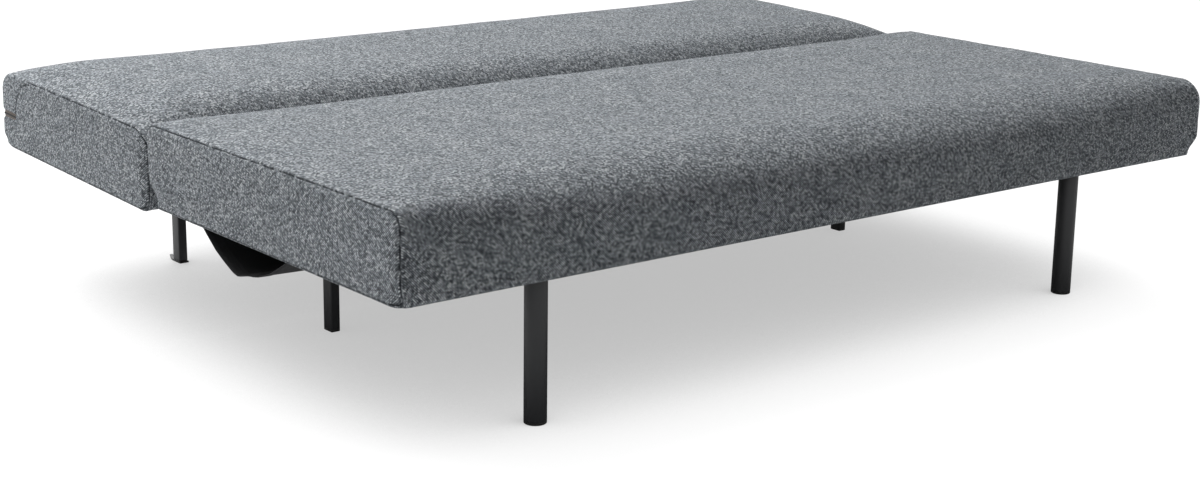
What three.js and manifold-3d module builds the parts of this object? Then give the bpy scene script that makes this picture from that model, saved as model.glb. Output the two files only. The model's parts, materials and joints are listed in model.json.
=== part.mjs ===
// Click-clack sofa bed, unfolded flat as a bed: a seat block on four steel legs and a back block
// hinged behind it on two ratchet fittings, with a third pair of legs under the back.
// Millimetres. X runs along the sofa, +Y towards its rear, Z up from the floor.

import * as THREE from "three";
import { mergeVertices } from "three/addons/utils/BufferGeometryUtils.js";
import Module from "manifold-3d";

const wasm = await Module();
wasm.setup();

// Driving sizes of the whole sofa
const bedLength = 2000;
const seatDepth = 845;
const backDepth = 655;
const blockThickness = 157; // at the ends; the tops are crowned between them
const blockGap = 8; // between the seat block and the back block
const seatUnderside = 268; // height above the floor
const backStep = 16.5; // the back block starts this much lower than the seat block
const backTiltDegrees = 1.65; // its rear edge rises by this angle
const legEndInset = 318; // leg centres from the ends of the sofa
const frontLegInset = 80; // leg centres from the long edge of their block
const middleLegInset = 110;
const rearLegInset = 148;
const backFoldDegrees = 75; // from bed to upright sofa

// Clearances and cutting room
const fit = 0.3; // between pieces that touch
const overrun = 4; // how far a cutting tool passes its work

// Upholstered blocks: foam and cover round an open bay on the underside
const seatRadius = { topFront: 60, topRear: 22, bottomFront: 13, bottomRear: 20 };
const backRadius = { topFront: 40, topRear: 52, bottomFront: 25, bottomRear: 25 };
const crown = { seat: 6, back: 25, alongPower: 22, acrossPower: 3 };
const drawIn = { depth: 2.5, alongPower: 4, acrossPower: 9 };
const padding = { endRound: 9, endSteps: 2, stations: 14, arcSteps: 4, topSteps: 7 };
const bay = { end: 50, wall: 35, depth: 78 };
const zipGroove = { height: 68, halfHeight: 13, depth: 5 };
const zip = { width: 16, thickness: 3, corner: 1, endInset: 40 };

// Dust covers that close the bays, just inside the underside
const dustCover = { inset: 0.5, thickness: 2 };

// Welded frames of square tube
const tube = { size: 30, corner: 3 };

// Zig-zag springs across the frames
const spring = { wire: 1.9, swing: 30, pitch: 80, arch: 12, count: 5, sides: 4, stepsPerPitch: 6 };

// Legs
const legPlate = { length: 80, width: 60, thickness: 4, corner: 10 };
const roundLeg = { radius: 20, wall: 1.5, chamfer: 1.2, segments: 24 };
const glide = { height: 5, plug: 15, edge: 1.5 };
const flatLeg = { width: 20, depth: 30, wall: 1.5, corner: 3 };
const legCap = { height: 4, plug: 14, chamfer: 1.5 };
const rearFoot = {
  toe: 3, heel: 26, tip: 38, lift: 9, thickness: 4, tipThickness: 2, widen: 1, tipShare: 0.3,
};

// Click-clack fitting. Places are measured from its pivot, y to the rear and z up.
const pivot = { fromFront: 120, aboveUnderside: 92, radius: 6, headRadius: 11, headHeight: 3.6 };
const arm = {
  thickness: 6, eye: 22, neck: 20, drop: 126, bar: 36, padHalf: 23, padCorner: 8, fillet: 26,
  boss: 11, bossDegrees: 160, plateClearance: 4, boltInset: 21, swing: 8,
};
const washer = { thickness: 1.7, radius: 13, clearance: 0.6 };
const ratchet = {
  thickness: 5, radius: 32, toothDepth: 4, teeth: 6, firstClick: 11, spareTurn: 2,
  footDegrees: -10, hubDegrees: 285,
  footFrom: 12, footTo: 80, footTop: 62, footBottom: 87, screw: 3.2,
};
const pawl = {
  y: -25, z: -43.3, radius: 8, pin: 4, tipClearance: 0.8, tipDegrees: 262, nose: 3,
  shoulderDegrees: 76,
};
const pawlSpring = { wire: 0.7, clearance: 0.6, turns: 3, pitch: 2.4, sides: 5, stepsPerTurn: 8, leg: 14 };
const bolt = { radius: 4, head: 6.6, headHeight: 5.3, hole: 4.3, nut: 6.5 };
const fittingBay = 17; // from the leg centre outwards, room for the pins' ends

// Sling of black cloth under the seat, held up by a strip along each of its edges
const sling = {
  centre: 539, half: 161, sag: 73, skew: 0.25, endInset: 28, thickness: 2.5, points: 12, steps: 12,
  wave: 3, waves: 5,
};
const slingStrip = { width: 22, thickness: 2.5, corner: 0.8 };

// Facets of round pins, round holes and hexagons
const facets = { pin: 20, hole: 12, hexagon: 6 };

// Colours and finishes
const finish = {
  cover: new THREE.MeshStandardMaterial({ color: 0x7d848d, roughness: 0.95 }),
  blackCloth: new THREE.MeshStandardMaterial({ color: 0x1b1b1d, roughness: 0.9 }),
  blackSteel: new THREE.MeshStandardMaterial({ color: 0x17171a, roughness: 0.45, metalness: 0.6 }),
  zincSteel: new THREE.MeshStandardMaterial({ color: 0xa9abad, roughness: 0.35, metalness: 0.9 }),
  springSteel: new THREE.MeshStandardMaterial({ color: 0x5f6164, roughness: 0.4, metalness: 0.9 }),
  blackPlastic: new THREE.MeshStandardMaterial({ color: 0x141415, roughness: 0.6 }),
  zipTape: new THREE.MeshStandardMaterial({ color: 0x6b6460, roughness: 0.8 }),
};

// Places worked out from the sizes
const backTilt = THREE.MathUtils.degToRad(backTiltDegrees);
const legX = bedLength / 2 - legEndInset;
const seatTop = blockThickness;
const coverTop = dustCover.inset + dustCover.thickness; // measured up from a block's underside
const frameBottom = coverTop + fit;
const frameTop = frameBottom + tube.size;
const plateTop = dustCover.inset - fit;
const plateBottom = plateTop - legPlate.thickness;
const bayX = bedLength / 2 - bay.end;
const sideNames = [["left", -1], ["right", 1]];

// Layers of a fitting, as distances from the middle of the sofa
const armOuter = legX - flatLeg.width / 2 - fit;
const armInner = armOuter - arm.thickness;
const washerInner = armInner - fit - washer.thickness;
const ratchetOuter = washerInner - fit;
const ratchetInner = ratchetOuter - ratchet.thickness;
const innerTubeFace = ratchetInner - fit;
const outerTubeFace = legX + fittingBay;

const model = new THREE.Group();
const backGroup = new THREE.Group();
backGroup.position.set(0, seatDepth + blockGap, seatUnderside - backStep);
backGroup.rotation.x = backTilt;
model.add(backGroup);
backGroup.updateMatrixWorld(true);
const pivotPlace = backGroup.localToWorld(new THREE.Vector3(0, pivot.fromFront, pivot.aboveUnderside));

function add(group, name, geometry, material) {
  const mesh = new THREE.Mesh(geometry, material);
  mesh.name = name;
  group.add(mesh);
  return mesh;
}

// Turns a closed geometry into a solid that can be joined and cut.
function toSolid(geometry) {
  const bare = geometry.clone();
  bare.deleteAttribute("normal");
  bare.deleteAttribute("uv");
  const merged = mergeVertices(bare, 1e-4);
  return new wasm.Manifold(new wasm.Mesh({
    numProp: 3,
    vertProperties: merged.attributes.position.array,
    triVerts: new Uint32Array(merged.index.array),
  }));
}

function toGeometry(solid) {
  const mesh = solid.getMesh();
  const geometry = new THREE.BufferGeometry();
  geometry.setAttribute("position", new THREE.BufferAttribute(new Float32Array(mesh.vertProperties), 3));
  geometry.setIndex(new THREE.BufferAttribute(new Uint32Array(mesh.triVerts), 1));
  geometry.computeVertexNormals();
  return geometry;
}

function joined(geometries) {
  return toGeometry(geometries.map(toSolid).reduce((whole, piece) => whole.add(piece)));
}

function cutBy(geometry, tools) {
  return toGeometry(tools.map(toSolid).reduce((whole, tool) => whole.subtract(tool), toSolid(geometry)));
}

// A box given by its lowest and highest corner.
function boxBetween([x0, y0, z0], [x1, y1, z1]) {
  const box = new THREE.BoxGeometry(x1 - x0, y1 - y0, z1 - z0);
  return box.translate((x0 + x1) / 2, (y0 + y1) / 2, (z0 + z1) / 2);
}

// A rectangle with rounded corners, centred.
function roundedRectangle(width, height, radius) {
  const shape = new THREE.Shape();
  const x = width / 2 - radius;
  const y = height / 2 - radius;
  shape.absarc(x, -y, radius, -Math.PI / 2, 0);
  shape.absarc(x, y, radius, 0, Math.PI / 2);
  shape.absarc(-x, y, radius, Math.PI / 2, Math.PI);
  shape.absarc(-x, -y, radius, Math.PI, 1.5 * Math.PI);
  return shape;
}

function extruded(shape, length, curveSegments = 2, steps = 1) {
  const options = { depth: length, bevelEnabled: false, curveSegments, steps };
  return new THREE.ExtrudeGeometry(shape, options).translate(0, 0, -length / 2);
}

const axisX = new THREE.Vector3(1, 0, 0);
const axisY = new THREE.Vector3(0, 1, 0);
const axisZ = new THREE.Vector3(0, 0, 1);

// A shape drawn in the plane of y and z, carried along X and centred.
function alongX(shape, length, curveSegments, steps) {
  const turn = new THREE.Matrix4().makeBasis(axisY, axisZ, axisX);
  return extruded(shape, length, curveSegments, steps).applyMatrix4(turn);
}

// A profile of [radius, height] pairs, bottom to top, turned round the Z axis.
function turned(profile, segments) {
  const points = profile.map(([radius, height]) => new THREE.Vector2(radius, height));
  return new THREE.LatheGeometry(points, segments).rotateX(Math.PI / 2);
}

// A round pin or hole along X between two distances.
function pinAlongX(radius, x0, x1, y, z, segments = facets.pin) {
  const pin = new THREE.CylinderGeometry(radius, radius, Math.abs(x1 - x0), segments);
  return pin.rotateZ(Math.PI / 2).translate((x0 + x1) / 2, y, z);
}

// A wire of even section along points; up is never in line with the wire.
function wireAlong(points, radius, sides, up) {
  const positions = [];
  const indices = [];
  points.forEach((point, i) => {
    const before = points[Math.max(i - 1, 0)];
    const after = points[Math.min(i + 1, points.length - 1)];
    const along = after.clone().sub(before).normalize();
    const across = along.clone().cross(up).normalize();
    const over = across.clone().cross(along);
    for (let k = 0; k < sides; k += 1) {
      const angle = (2 * Math.PI * (k + 0.5)) / sides;
      const ring = point.clone();
      ring.addScaledVector(across, radius * Math.cos(angle)).addScaledVector(over, radius * Math.sin(angle));
      positions.push(ring.x, ring.y, ring.z);
    }
  });
  for (let i = 0; i + 1 < points.length; i += 1) {
    for (let k = 0; k < sides; k += 1) {
      const a = i * sides + k;
      const b = i * sides + ((k + 1) % sides);
      indices.push(a, a + sides, b, b, a + sides, b + sides);
    }
  }
  const last = (points.length - 1) * sides;
  for (let k = 1; k + 1 < sides; k += 1) {
    indices.push(0, k, k + 1, last, last + k + 1, last + k);
  }
  const geometry = new THREE.BufferGeometry();
  geometry.setAttribute("position", new THREE.Float32BufferAttribute(positions, 3));
  geometry.setIndex(indices);
  return geometry;
}

// The section of an upholstered block, counterclockwise: y from its front face, z from its underside.
function blockSection(depth, radius, groove) {
  const points = [];
  const corner = (y, z, r, from) => {
    for (let i = 0; i <= padding.arcSteps; i += 1) {
      const angle = THREE.MathUtils.degToRad(from + (90 * i) / padding.arcSteps);
      points.push([y + r * Math.cos(angle), z + r * Math.sin(angle)]);
    }
  };
  corner(radius.bottomFront, radius.bottomFront, radius.bottomFront, 180);
  corner(depth - radius.bottomRear, radius.bottomRear, radius.bottomRear, 270);
  if (groove) {
    points.push([depth, groove.height - groove.halfHeight]);
    points.push([depth - groove.depth, groove.height - groove.halfHeight + groove.depth]);
    points.push([depth - groove.depth, groove.height + groove.halfHeight - groove.depth]);
    points.push([depth, groove.height + groove.halfHeight]);
  }
  corner(depth - radius.topRear, seatTop - radius.topRear, radius.topRear, 0);
  const first = depth - radius.topRear;
  const step = (first - radius.topFront) / (padding.topSteps + 1);
  for (let i = 1; i <= padding.topSteps; i += 1) points.push([first - step * i, seatTop]);
  corner(radius.topFront, seatTop - radius.topFront, radius.topFront, 90);
  return points;
}

// How far a long side draws in at the place y; s runs from -1 to 1 between the ends.
function drawnIn(y, depth, s) {
  const u = (2 * y) / depth - 1;
  return drawIn.depth * (1 - s ** drawIn.alongPower) * u ** drawIn.acrossPower;
}

// How far the top is raised at the place y and height z: nothing at the edges, most in the middle.
function raised(y, z, depth, s, height) {
  const u = Math.abs((2 * y) / depth - 1);
  const rise = Math.max(0, (2 * z) / seatTop - 1);
  return height * (1 - Math.abs(s) ** crown.alongPower) * (1 - u ** crown.acrossPower) * rise;
}

// A crowned block whose long sides draw in between the ends and whose ends are softly rounded. The
// stations lie closer together near the ends, where the crown falls away.
function paddedBlock(depth, radius, crownHeight, groove) {
  const section = blockSection(depth, radius, groove);
  const { endRound, endSteps, stations } = padding;
  const half = bedLength / 2;
  const flat = half - endRound;
  const along = Array.from({ length: stations + 1 }, (_, i) => (
    [flat * Math.sin((Math.PI / 2) * ((2 * i) / stations - 1)), 0]
  ));
  const rounded = Array.from({ length: endSteps }, (_, i) => {
    const angle = (Math.PI / 2) * ((i + 1) / endSteps);
    return [flat + endRound * Math.sin(angle), endRound * (1 - Math.cos(angle))];
  });
  const rings = [...rounded.map(([x, inset]) => [-x, inset]).reverse(), ...along, ...rounded];
  const positions = [];
  rings.forEach(([x, inset]) => {
    const s = THREE.MathUtils.clamp(x / flat, -1, 1);
    section.forEach(([y, z]) => {
      positions.push(
        x,
        depth / 2 + (y - depth / 2) * (1 - (2 * inset) / depth) - drawnIn(y, depth, s),
        seatTop / 2 + (z - seatTop / 2) * (1 - (2 * inset) / seatTop) + raised(y, z, depth, s, crownHeight),
      );
    });
  });
  const count = section.length;
  const indices = [];
  for (let i = 0; i + 1 < rings.length; i += 1) {
    for (let k = 0; k < count; k += 1) {
      const a = i * count + k;
      const b = i * count + ((k + 1) % count);
      indices.push(a, b, a + count, b, b + count, a + count);
    }
  }
  const last = (rings.length - 1) * count;
  const poles = positions.length / 3;
  positions.push(-half, depth / 2, seatTop / 2, half, depth / 2, seatTop / 2);
  for (let k = 0; k < count; k += 1) {
    const next = (k + 1) % count;
    indices.push(poles, next, k, poles + 1, last + k, last + next);
  }
  const geometry = new THREE.BufferGeometry();
  geometry.setAttribute("position", new THREE.Float32BufferAttribute(positions, 3));
  geometry.setIndex(indices);
  return geometry;
}

function bayTool(depth) {
  return boxBetween([-bayX, bay.wall, -overrun], [bayX, depth - bay.wall, bay.depth]);
}

// The strip of the back block's nose and bay that a fitting's arm swings through.
const hingeBand = {
  inner: ratchetInner - pivot.headHeight - overrun,
  outer: outerTubeFace,
  rear: pivot.fromFront + ratchet.radius + pivot.headRadius + overrun,
  noseTop: pivot.aboveUnderside + arm.swing,
  pocketTop: pivot.aboveUnderside + ratchet.radius + overrun,
};

function bandBox(side, y0, y1, z0, z1) {
  const xs = [side * hingeBand.inner, side * hingeBand.outer].sort((a, b) => a - b);
  return boxBetween([xs[0], y0, z0], [xs[1], y1, z1]);
}

function hingeTools() {
  return sideNames.flatMap(([, side]) => [
    bandBox(side, -overrun, bay.wall + overrun, -overrun, hingeBand.noseTop),
    bandBox(side, bay.wall, hingeBand.rear, -overrun, hingeBand.pocketTop),
  ]);
}

// A plate as high as a frame whose upper and lower edges slope at 45 degrees: inwards for a slab
// with chamfered edges, outwards and past both faces for a tool that cuts a chamfered window.
function framePlate([x0, y0], [x1, y1], isTool) {
  const plan = new THREE.Shape();
  plan.moveTo(x0, y0);
  plan.lineTo(x1, y0);
  plan.lineTo(x1, y1);
  plan.lineTo(x0, y1);
  const slope = isTool ? tube.corner + overrun : tube.corner;
  const plate = new THREE.ExtrudeGeometry(plan, {
    depth: tube.size - 2 * tube.corner,
    bevelThickness: slope,
    bevelSize: isTool ? -slope : slope,
    bevelOffset: isTool ? slope : -slope,
    bevelSegments: 1,
  });
  return plate.translate(0, 0, frameBottom + tube.corner);
}

// Frame of welded square tube in a bay: rails all round and tubes from front to rear. The front
// rail stops on both sides of each fitting.
function weldedFrame(depth, crossTubes, fittings) {
  const outerX = bayX - fit;
  const front = bay.wall + fit;
  const rear = depth - bay.wall - fit;
  const tubes = [
    [-outerX, -outerX + tube.size],
    ...crossTubes.map((x) => [x - tube.size / 2, x + tube.size / 2]),
    ...fittings.map(([from, to]) => [from - tube.size, to + tube.size]),
    [outerX - tube.size, outerX],
  ].sort((a, b) => a[0] - b[0]);
  const windows = tubes.slice(1).map(([to], i) => (
    framePlate([tubes[i][1], front + tube.size], [to, rear - tube.size], true)
  ));
  const openings = fittings.map(([from, to]) => (
    framePlate([from, front - overrun], [to, rear - tube.size], true)
  ));
  return cutBy(framePlate([-outerX, front], [outerX, rear], false), [...windows, ...openings]);
}

// Zig-zag spring lying on the front and rear rails and arching up between them.
function zigzagSpring(depth, x) {
  const from = bay.wall + fit + tube.size / 2;
  const to = depth - from;
  const loops = Math.round((to - from) / spring.pitch);
  const steps = loops * spring.stepsPerPitch;
  const points = [];
  for (let i = 0; i <= steps; i += 1) {
    const share = i / steps;
    const swing = spring.swing * Math.sin((2 * Math.PI * i) / spring.stepsPerPitch);
    const z = frameTop + fit + spring.wire + spring.arch * Math.sin(Math.PI * share) ** 2;
    points.push(new THREE.Vector3(x + swing, from + (to - from) * share, z));
  }
  return wireAlong(points, spring.wire, spring.sides, axisZ);
}

function springPlaces() {
  const step = (2 * bayX) / spring.count;
  return Array.from({ length: spring.count }, (_, i) => -bayX + step * (i + 0.5));
}

function dustPanel(depth, holes) {
  const panel = boxBetween(
    [-bayX + fit, bay.wall + fit, dustCover.inset],
    [bayX - fit, depth - bay.wall - fit, coverTop],
  );
  return holes.length ? cutBy(panel, holes) : panel;
}

// Front leg: a round tube closed at the top, open below for its glide.
function frontLeg() {
  const { radius, wall, chamfer, segments } = roundLeg;
  const top = seatUnderside + plateBottom - fit;
  return turned([
    [0, top - wall],
    [radius - wall, top - wall],
    [radius - wall, glide.height + fit],
    [radius, glide.height + fit],
    [radius, top - chamfer],
    [radius - chamfer, top],
    [0, top],
  ], segments);
}

function frontGlide() {
  const plugRadius = roundLeg.radius - roundLeg.wall - fit;
  return turned([
    [0, 0],
    [roundLeg.radius - glide.edge, 0],
    [roundLeg.radius, glide.edge],
    [roundLeg.radius, glide.height],
    [plugRadius, glide.height],
    [plugRadius, glide.height + glide.plug],
    [0, glide.height + glide.plug],
  ], roundLeg.segments);
}

function mountingPlate() {
  return extruded(roundedRectangle(legPlate.length, legPlate.width, legPlate.corner), legPlate.thickness);
}

// Rectangular tube leg welded to its plate, open below. The plate follows the tilt of its block.
function flatLegWithPlate(plateHeight, tilt, footHeight, boltHeights) {
  const plate = mountingPlate().rotateX(tilt).translate(0, 0, plateHeight);
  const bottom = footHeight + fit;
  const length = plateHeight - bottom;
  const outer = extruded(roundedRectangle(flatLeg.width, flatLeg.depth, flatLeg.corner), length);
  outer.translate(0, 0, bottom + length / 2);
  const innerLength = length - legPlate.thickness;
  const innerCorner = flatLeg.corner - flatLeg.wall;
  const inner = extruded(
    roundedRectangle(flatLeg.width - 2 * flatLeg.wall, flatLeg.depth - 2 * flatLeg.wall, innerCorner),
    innerLength + overrun,
  );
  inner.translate(0, 0, bottom - overrun + (innerLength + overrun) / 2);
  const holes = boltHeights.map((z) => (
    pinAlongX(bolt.hole, -flatLeg.width, flatLeg.width, 0, z, facets.hole)
  ));
  return cutBy(joined([plate, outer]), [inner, ...holes]);
}

function legPlug(height) {
  const width = flatLeg.width - 2 * (flatLeg.wall + fit);
  const depth = flatLeg.depth - 2 * (flatLeg.wall + fit);
  const corner = flatLeg.corner - flatLeg.wall;
  const length = legCap.plug + overrun;
  const plug = extruded(roundedRectangle(width, depth, corner), length);
  return plug.translate(0, 0, height - overrun + length / 2);
}

// Plastic cap that closes a middle leg: a chamfered sole and a plug inside the tube.
function middleCap() {
  const { height, chamfer } = legCap;
  const sole = extruded(roundedRectangle(flatLeg.width, flatLeg.depth, flatLeg.corner), height);
  sole.translate(0, 0, height / 2);
  const place = sole.attributes.position;
  for (let i = 0; i < place.count; i += 1) {
    if (place.getZ(i) === 0) {
      place.setX(i, place.getX(i) * (1 - (2 * chamfer) / flatLeg.width));
      place.setY(i, place.getY(i) * (1 - (2 * chamfer) / flatLeg.depth));
    }
  }
  return joined([sole, legPlug(height)]);
}

// Foot of a rear leg: a flat sole that runs out behind the leg to a lifted, pointed toe.
function rearFootPiece() {
  const { toe, heel, tip, lift, thickness, tipThickness, widen, tipShare } = rearFoot;
  const front = -flatLeg.depth / 2 - toe;
  const side = new THREE.Shape();
  side.moveTo(front, 0);
  side.lineTo(heel - thickness, 0);
  side.quadraticCurveTo(heel + thickness, 0, tip, lift);
  side.lineTo(tip - tipThickness, lift + tipThickness);
  side.quadraticCurveTo(heel, thickness, heel - 2 * thickness, thickness);
  side.lineTo(front, thickness);
  const sole = alongX(side, flatLeg.width + 2 * widen, 5);
  const place = sole.attributes.position;
  for (let i = 0; i < place.count; i += 1) {
    const beyond = Math.max(0, (place.getY(i) - flatLeg.depth / 2) / (tip - flatLeg.depth / 2));
    place.setX(i, place.getX(i) * (1 - (1 - tipShare) * beyond));
  }
  return joined([sole, legPlug(thickness)]);
}

// Points of the fitting, measured from its pivot
const legFromPivot = seatDepth - middleLegInset - pivotPlace.y;
const padTop = seatUnderside + plateBottom - arm.plateClearance - pivotPlace.z;
const barTop = -arm.drop;
const barBottom = barTop - arm.bar;
const boltHeights = [padTop - arm.boltInset, barBottom + arm.boltInset];

// The fixed arm: a swan-neck plate from the middle leg, under the junction and up to the pivot.
function armPlate() {
  const { eye, neck, fillet, boss, padHalf, padCorner } = arm;
  const eyeTurn = Math.asin(neck / eye) - Math.PI / 2;
  const bossTurn = THREE.MathUtils.degToRad(arm.bossDegrees);
  const padRight = legFromPivot + padHalf;
  const padLeft = legFromPivot - padHalf;
  const shape = new THREE.Shape();
  shape.absarc(0, 0, eye, eyeTurn, Math.PI - eyeTurn);
  shape.absarc(pawl.y, pawl.z, boss, bossTurn, 2 * Math.PI - bossTurn);
  shape.lineTo(-eye, barTop + fillet + 2 * boss);
  shape.lineTo(-eye, barTop + fillet);
  shape.quadraticCurveTo(-eye, barTop, -eye - fillet, barTop);
  shape.lineTo(padRight + padCorner, barTop);
  shape.quadraticCurveTo(padRight, barTop, padRight, barTop + padCorner);
  shape.lineTo(padRight, padTop - padCorner);
  shape.quadraticCurveTo(padRight, padTop, padRight - padCorner, padTop);
  shape.lineTo(padLeft + padCorner, padTop);
  shape.quadraticCurveTo(padLeft, padTop, padLeft, padTop - padCorner);
  shape.lineTo(padLeft, barBottom + padCorner);
  shape.quadraticCurveTo(padLeft, barBottom, padLeft + padCorner, barBottom);
  shape.lineTo(neck - fillet, barBottom);
  shape.quadraticCurveTo(neck, barBottom, neck, barBottom + fillet);
  const plate = alongX(shape, arm.thickness, 6);
  return cutBy(plate, [
    pinAlongX(pivot.radius + fit, -arm.thickness, arm.thickness, 0, 0),
    pinAlongX(pawl.pin + fit, -arm.thickness, arm.thickness, pawl.y, pawl.z),
    ...boltHeights.map((z) => (
      pinAlongX(bolt.hole, -arm.thickness, arm.thickness, legFromPivot, z, facets.hole)
    )),
  ]);
}

const polar = (radius, degrees) => [
  radius * Math.cos(THREE.MathUtils.degToRad(degrees)),
  radius * Math.sin(THREE.MathUtils.degToRad(degrees)),
];

// The moving plate: a saw-toothed disc whose foot is screwed to the back frame.
function ratchetPlate() {
  const { radius, toothDepth, teeth, footDegrees, hubDegrees } = ratchet;
  const firstTooth = pawl.tipDegrees - backFoldDegrees - ratchet.spareTurn;
  const lastTooth = pawl.tipDegrees - ratchet.firstClick;
  const shape = new THREE.Shape();
  shape.moveTo(ratchet.footFrom, -ratchet.footBottom);
  shape.lineTo(ratchet.footTo, -ratchet.footBottom);
  shape.lineTo(ratchet.footTo, -ratchet.footTop);
  shape.absarc(0, 0, radius, THREE.MathUtils.degToRad(footDegrees), THREE.MathUtils.degToRad(firstTooth));
  const toothAngle = (lastTooth - firstTooth) / teeth;
  for (let i = 0; i < teeth; i += 1) {
    shape.lineTo(...polar(radius - toothDepth, firstTooth + toothAngle * i));
    shape.lineTo(...polar(radius, firstTooth + toothAngle * (i + 1)));
  }
  shape.absarc(0, 0, radius, THREE.MathUtils.degToRad(lastTooth), THREE.MathUtils.degToRad(hubDegrees));
  shape.lineTo(ratchet.footFrom, -ratchet.footTop);
  const plate = alongX(shape, ratchet.thickness, 8);
  const screwZ = -(ratchet.footTop + ratchet.footBottom) / 2;
  const screwStep = (ratchet.footTo - ratchet.footFrom) / 4;
  return cutBy(plate, [
    pinAlongX(pivot.radius + fit, -ratchet.thickness, ratchet.thickness, 0, 0),
    ...[ratchet.footFrom + screwStep, ratchet.footTo - screwStep].map((y) => (
      pinAlongX(ratchet.screw, -ratchet.thickness, ratchet.thickness, y, screwZ, facets.hole)
    )),
  ]);
}

// The pawl: a boss on its pin and a finger whose tip rides just clear of the teeth.
function pawlPlate() {
  const [tipY, tipZ] = polar(ratchet.radius + pawl.tipClearance, pawl.tipDegrees);
  const tip = new THREE.Vector2(tipY - pawl.y, tipZ - pawl.z);
  const along = tip.angle();
  const shape = new THREE.Shape();
  const shoulder = THREE.MathUtils.degToRad(pawl.shoulderDegrees);
  shape.absarc(0, 0, pawl.radius, along + shoulder, along - shoulder + 2 * Math.PI);
  shape.lineTo(tip.x, tip.y - pawl.nose);
  shape.lineTo(tip.x, tip.y);
  const plate = alongX(shape, ratchet.thickness, 10);
  return cutBy(plate, [pinAlongX(pawl.pin + fit, -ratchet.thickness, ratchet.thickness, 0, 0)]);
}

// Riveted pin along X: a shank between two heads, placed by its layers on one side.
function rivet(side, radius, headRadius, headHeight, x0, x1) {
  return joined([
    pinAlongX(radius, side * x0, side * x1, 0, 0),
    pinAlongX(headRadius, side * (x0 - headHeight), side * x0, 0, 0),
    pinAlongX(headRadius, side * x1, side * (x1 + headHeight), 0, 0),
  ]);
}

function washerRing() {
  const ring = new THREE.Shape();
  ring.absarc(0, 0, washer.radius, 0, 2 * Math.PI);
  const hole = new THREE.Path();
  hole.absarc(0, 0, pivot.radius + washer.clearance, 0, 2 * Math.PI);
  ring.holes.push(hole);
  return alongX(ring, washer.thickness, facets.pin / 2);
}

// Torsion spring round the pawl's pin, outside the arm.
function torsionSpring(side) {
  const radius = pawl.pin + pawlSpring.clearance + pawlSpring.wire;
  const start = armOuter + fit + pawlSpring.wire;
  const steps = pawlSpring.turns * pawlSpring.stepsPerTurn;
  const points = [];
  for (let i = 0; i <= steps; i += 1) {
    const angle = (2 * Math.PI * i) / pawlSpring.stepsPerTurn;
    const x = side * (start + (pawlSpring.pitch * i) / pawlSpring.stepsPerTurn);
    points.push(new THREE.Vector3(x, radius * Math.cos(angle), radius * Math.sin(angle)));
  }
  const first = points[0].clone().add(new THREE.Vector3(0, 0, -pawlSpring.leg));
  return wireAlong([first, ...points], pawlSpring.wire, pawlSpring.sides, axisX);
}

const slingLength = bedLength - 2 * sling.endInset;

// How far the sling hangs at a share u of its half width, from -1 in front to 1 at the rear.
function slingDrop(u) {
  return (1 - u * u) * (1 + sling.skew * u);
}

// The cloth sling: a sagging band, deepest towards the rear, open at its ends, in soft waves.
function slingCloth() {
  const { half, sag, thickness, wave, waves, points } = sling;
  const curve = (inset) => Array.from({ length: points + 1 }, (_, i) => {
    const u = -1 + (2 * i) / points;
    return new THREE.Vector2((half - inset) * u, -(sag - inset) * slingDrop(u));
  });
  const band = new THREE.Shape([...curve(0), ...curve(thickness).reverse()]);
  const cloth = alongX(band, slingLength, 1, sling.steps);
  const place = cloth.attributes.position;
  for (let i = 0; i < place.count; i += 1) {
    const hang = Math.max(0, -place.getZ(i) / sag);
    const phase = (Math.PI * waves * place.getX(i)) / slingLength;
    place.setZ(i, place.getZ(i) - wave * hang * Math.cos(phase));
  }
  return cloth;
}

// Seat side: everything that stands on the front and middle legs
const legYs = { front: frontLegInset, middle: seatDepth - middleLegInset };
const seatPlate = seatUnderside + (plateTop + plateBottom) / 2;

const seatGroup = new THREE.Group();
seatGroup.position.z = seatUnderside;
model.add(seatGroup);
const seatBlock = cutBy(paddedBlock(seatDepth, seatRadius, crown.seat), [bayTool(seatDepth)]);
add(seatGroup, "seat_upholstery", seatBlock, finish.cover);
add(seatGroup, "seat_frame", weldedFrame(seatDepth, [-legX, 0, legX], []), finish.blackSteel);
springPlaces().forEach((x, i) => {
  add(seatGroup, `seat_spring_${i + 1}`, zigzagSpring(seatDepth, x), finish.springSteel);
});
add(seatGroup, "seat_dust_cover", dustPanel(seatDepth, []), finish.blackCloth);
const slingTop = -2 * fit - slingStrip.thickness;
add(seatGroup, "under_seat_sling", slingCloth(), finish.blackCloth).position.set(0, sling.centre, slingTop);
for (const [name, way] of [["front", -1], ["rear", 1]]) {
  const section = roundedRectangle(slingStrip.width, slingStrip.thickness, slingStrip.corner);
  const strip = add(seatGroup, `sling_strip_${name}`, alongX(section, slingLength), finish.blackCloth);
  const y = sling.centre + way * (sling.half - slingStrip.width / 2);
  strip.position.set(0, y, -fit - slingStrip.thickness / 2);
}

for (const [name, side] of sideNames) {
  const x = side * legX;
  add(model, `front_leg_${name}`, frontLeg(), finish.blackSteel).position.set(x, legYs.front, 0);
  add(model, `front_leg_glide_${name}`, frontGlide(), finish.blackPlastic).position.set(x, legYs.front, 0);
  const plate = add(model, `front_leg_plate_${name}`, mountingPlate(), finish.blackSteel);
  plate.position.set(x, legYs.front, seatPlate);
  const holes = boltHeights.map((z) => pivotPlace.z + z);
  const leg = flatLegWithPlate(seatPlate, 0, legCap.height, holes);
  add(model, `middle_leg_${name}`, leg, finish.blackSteel).position.set(x, legYs.middle, 0);
  add(model, `middle_leg_cap_${name}`, middleCap(), finish.blackPlastic).position.set(x, legYs.middle, 0);
}

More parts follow.
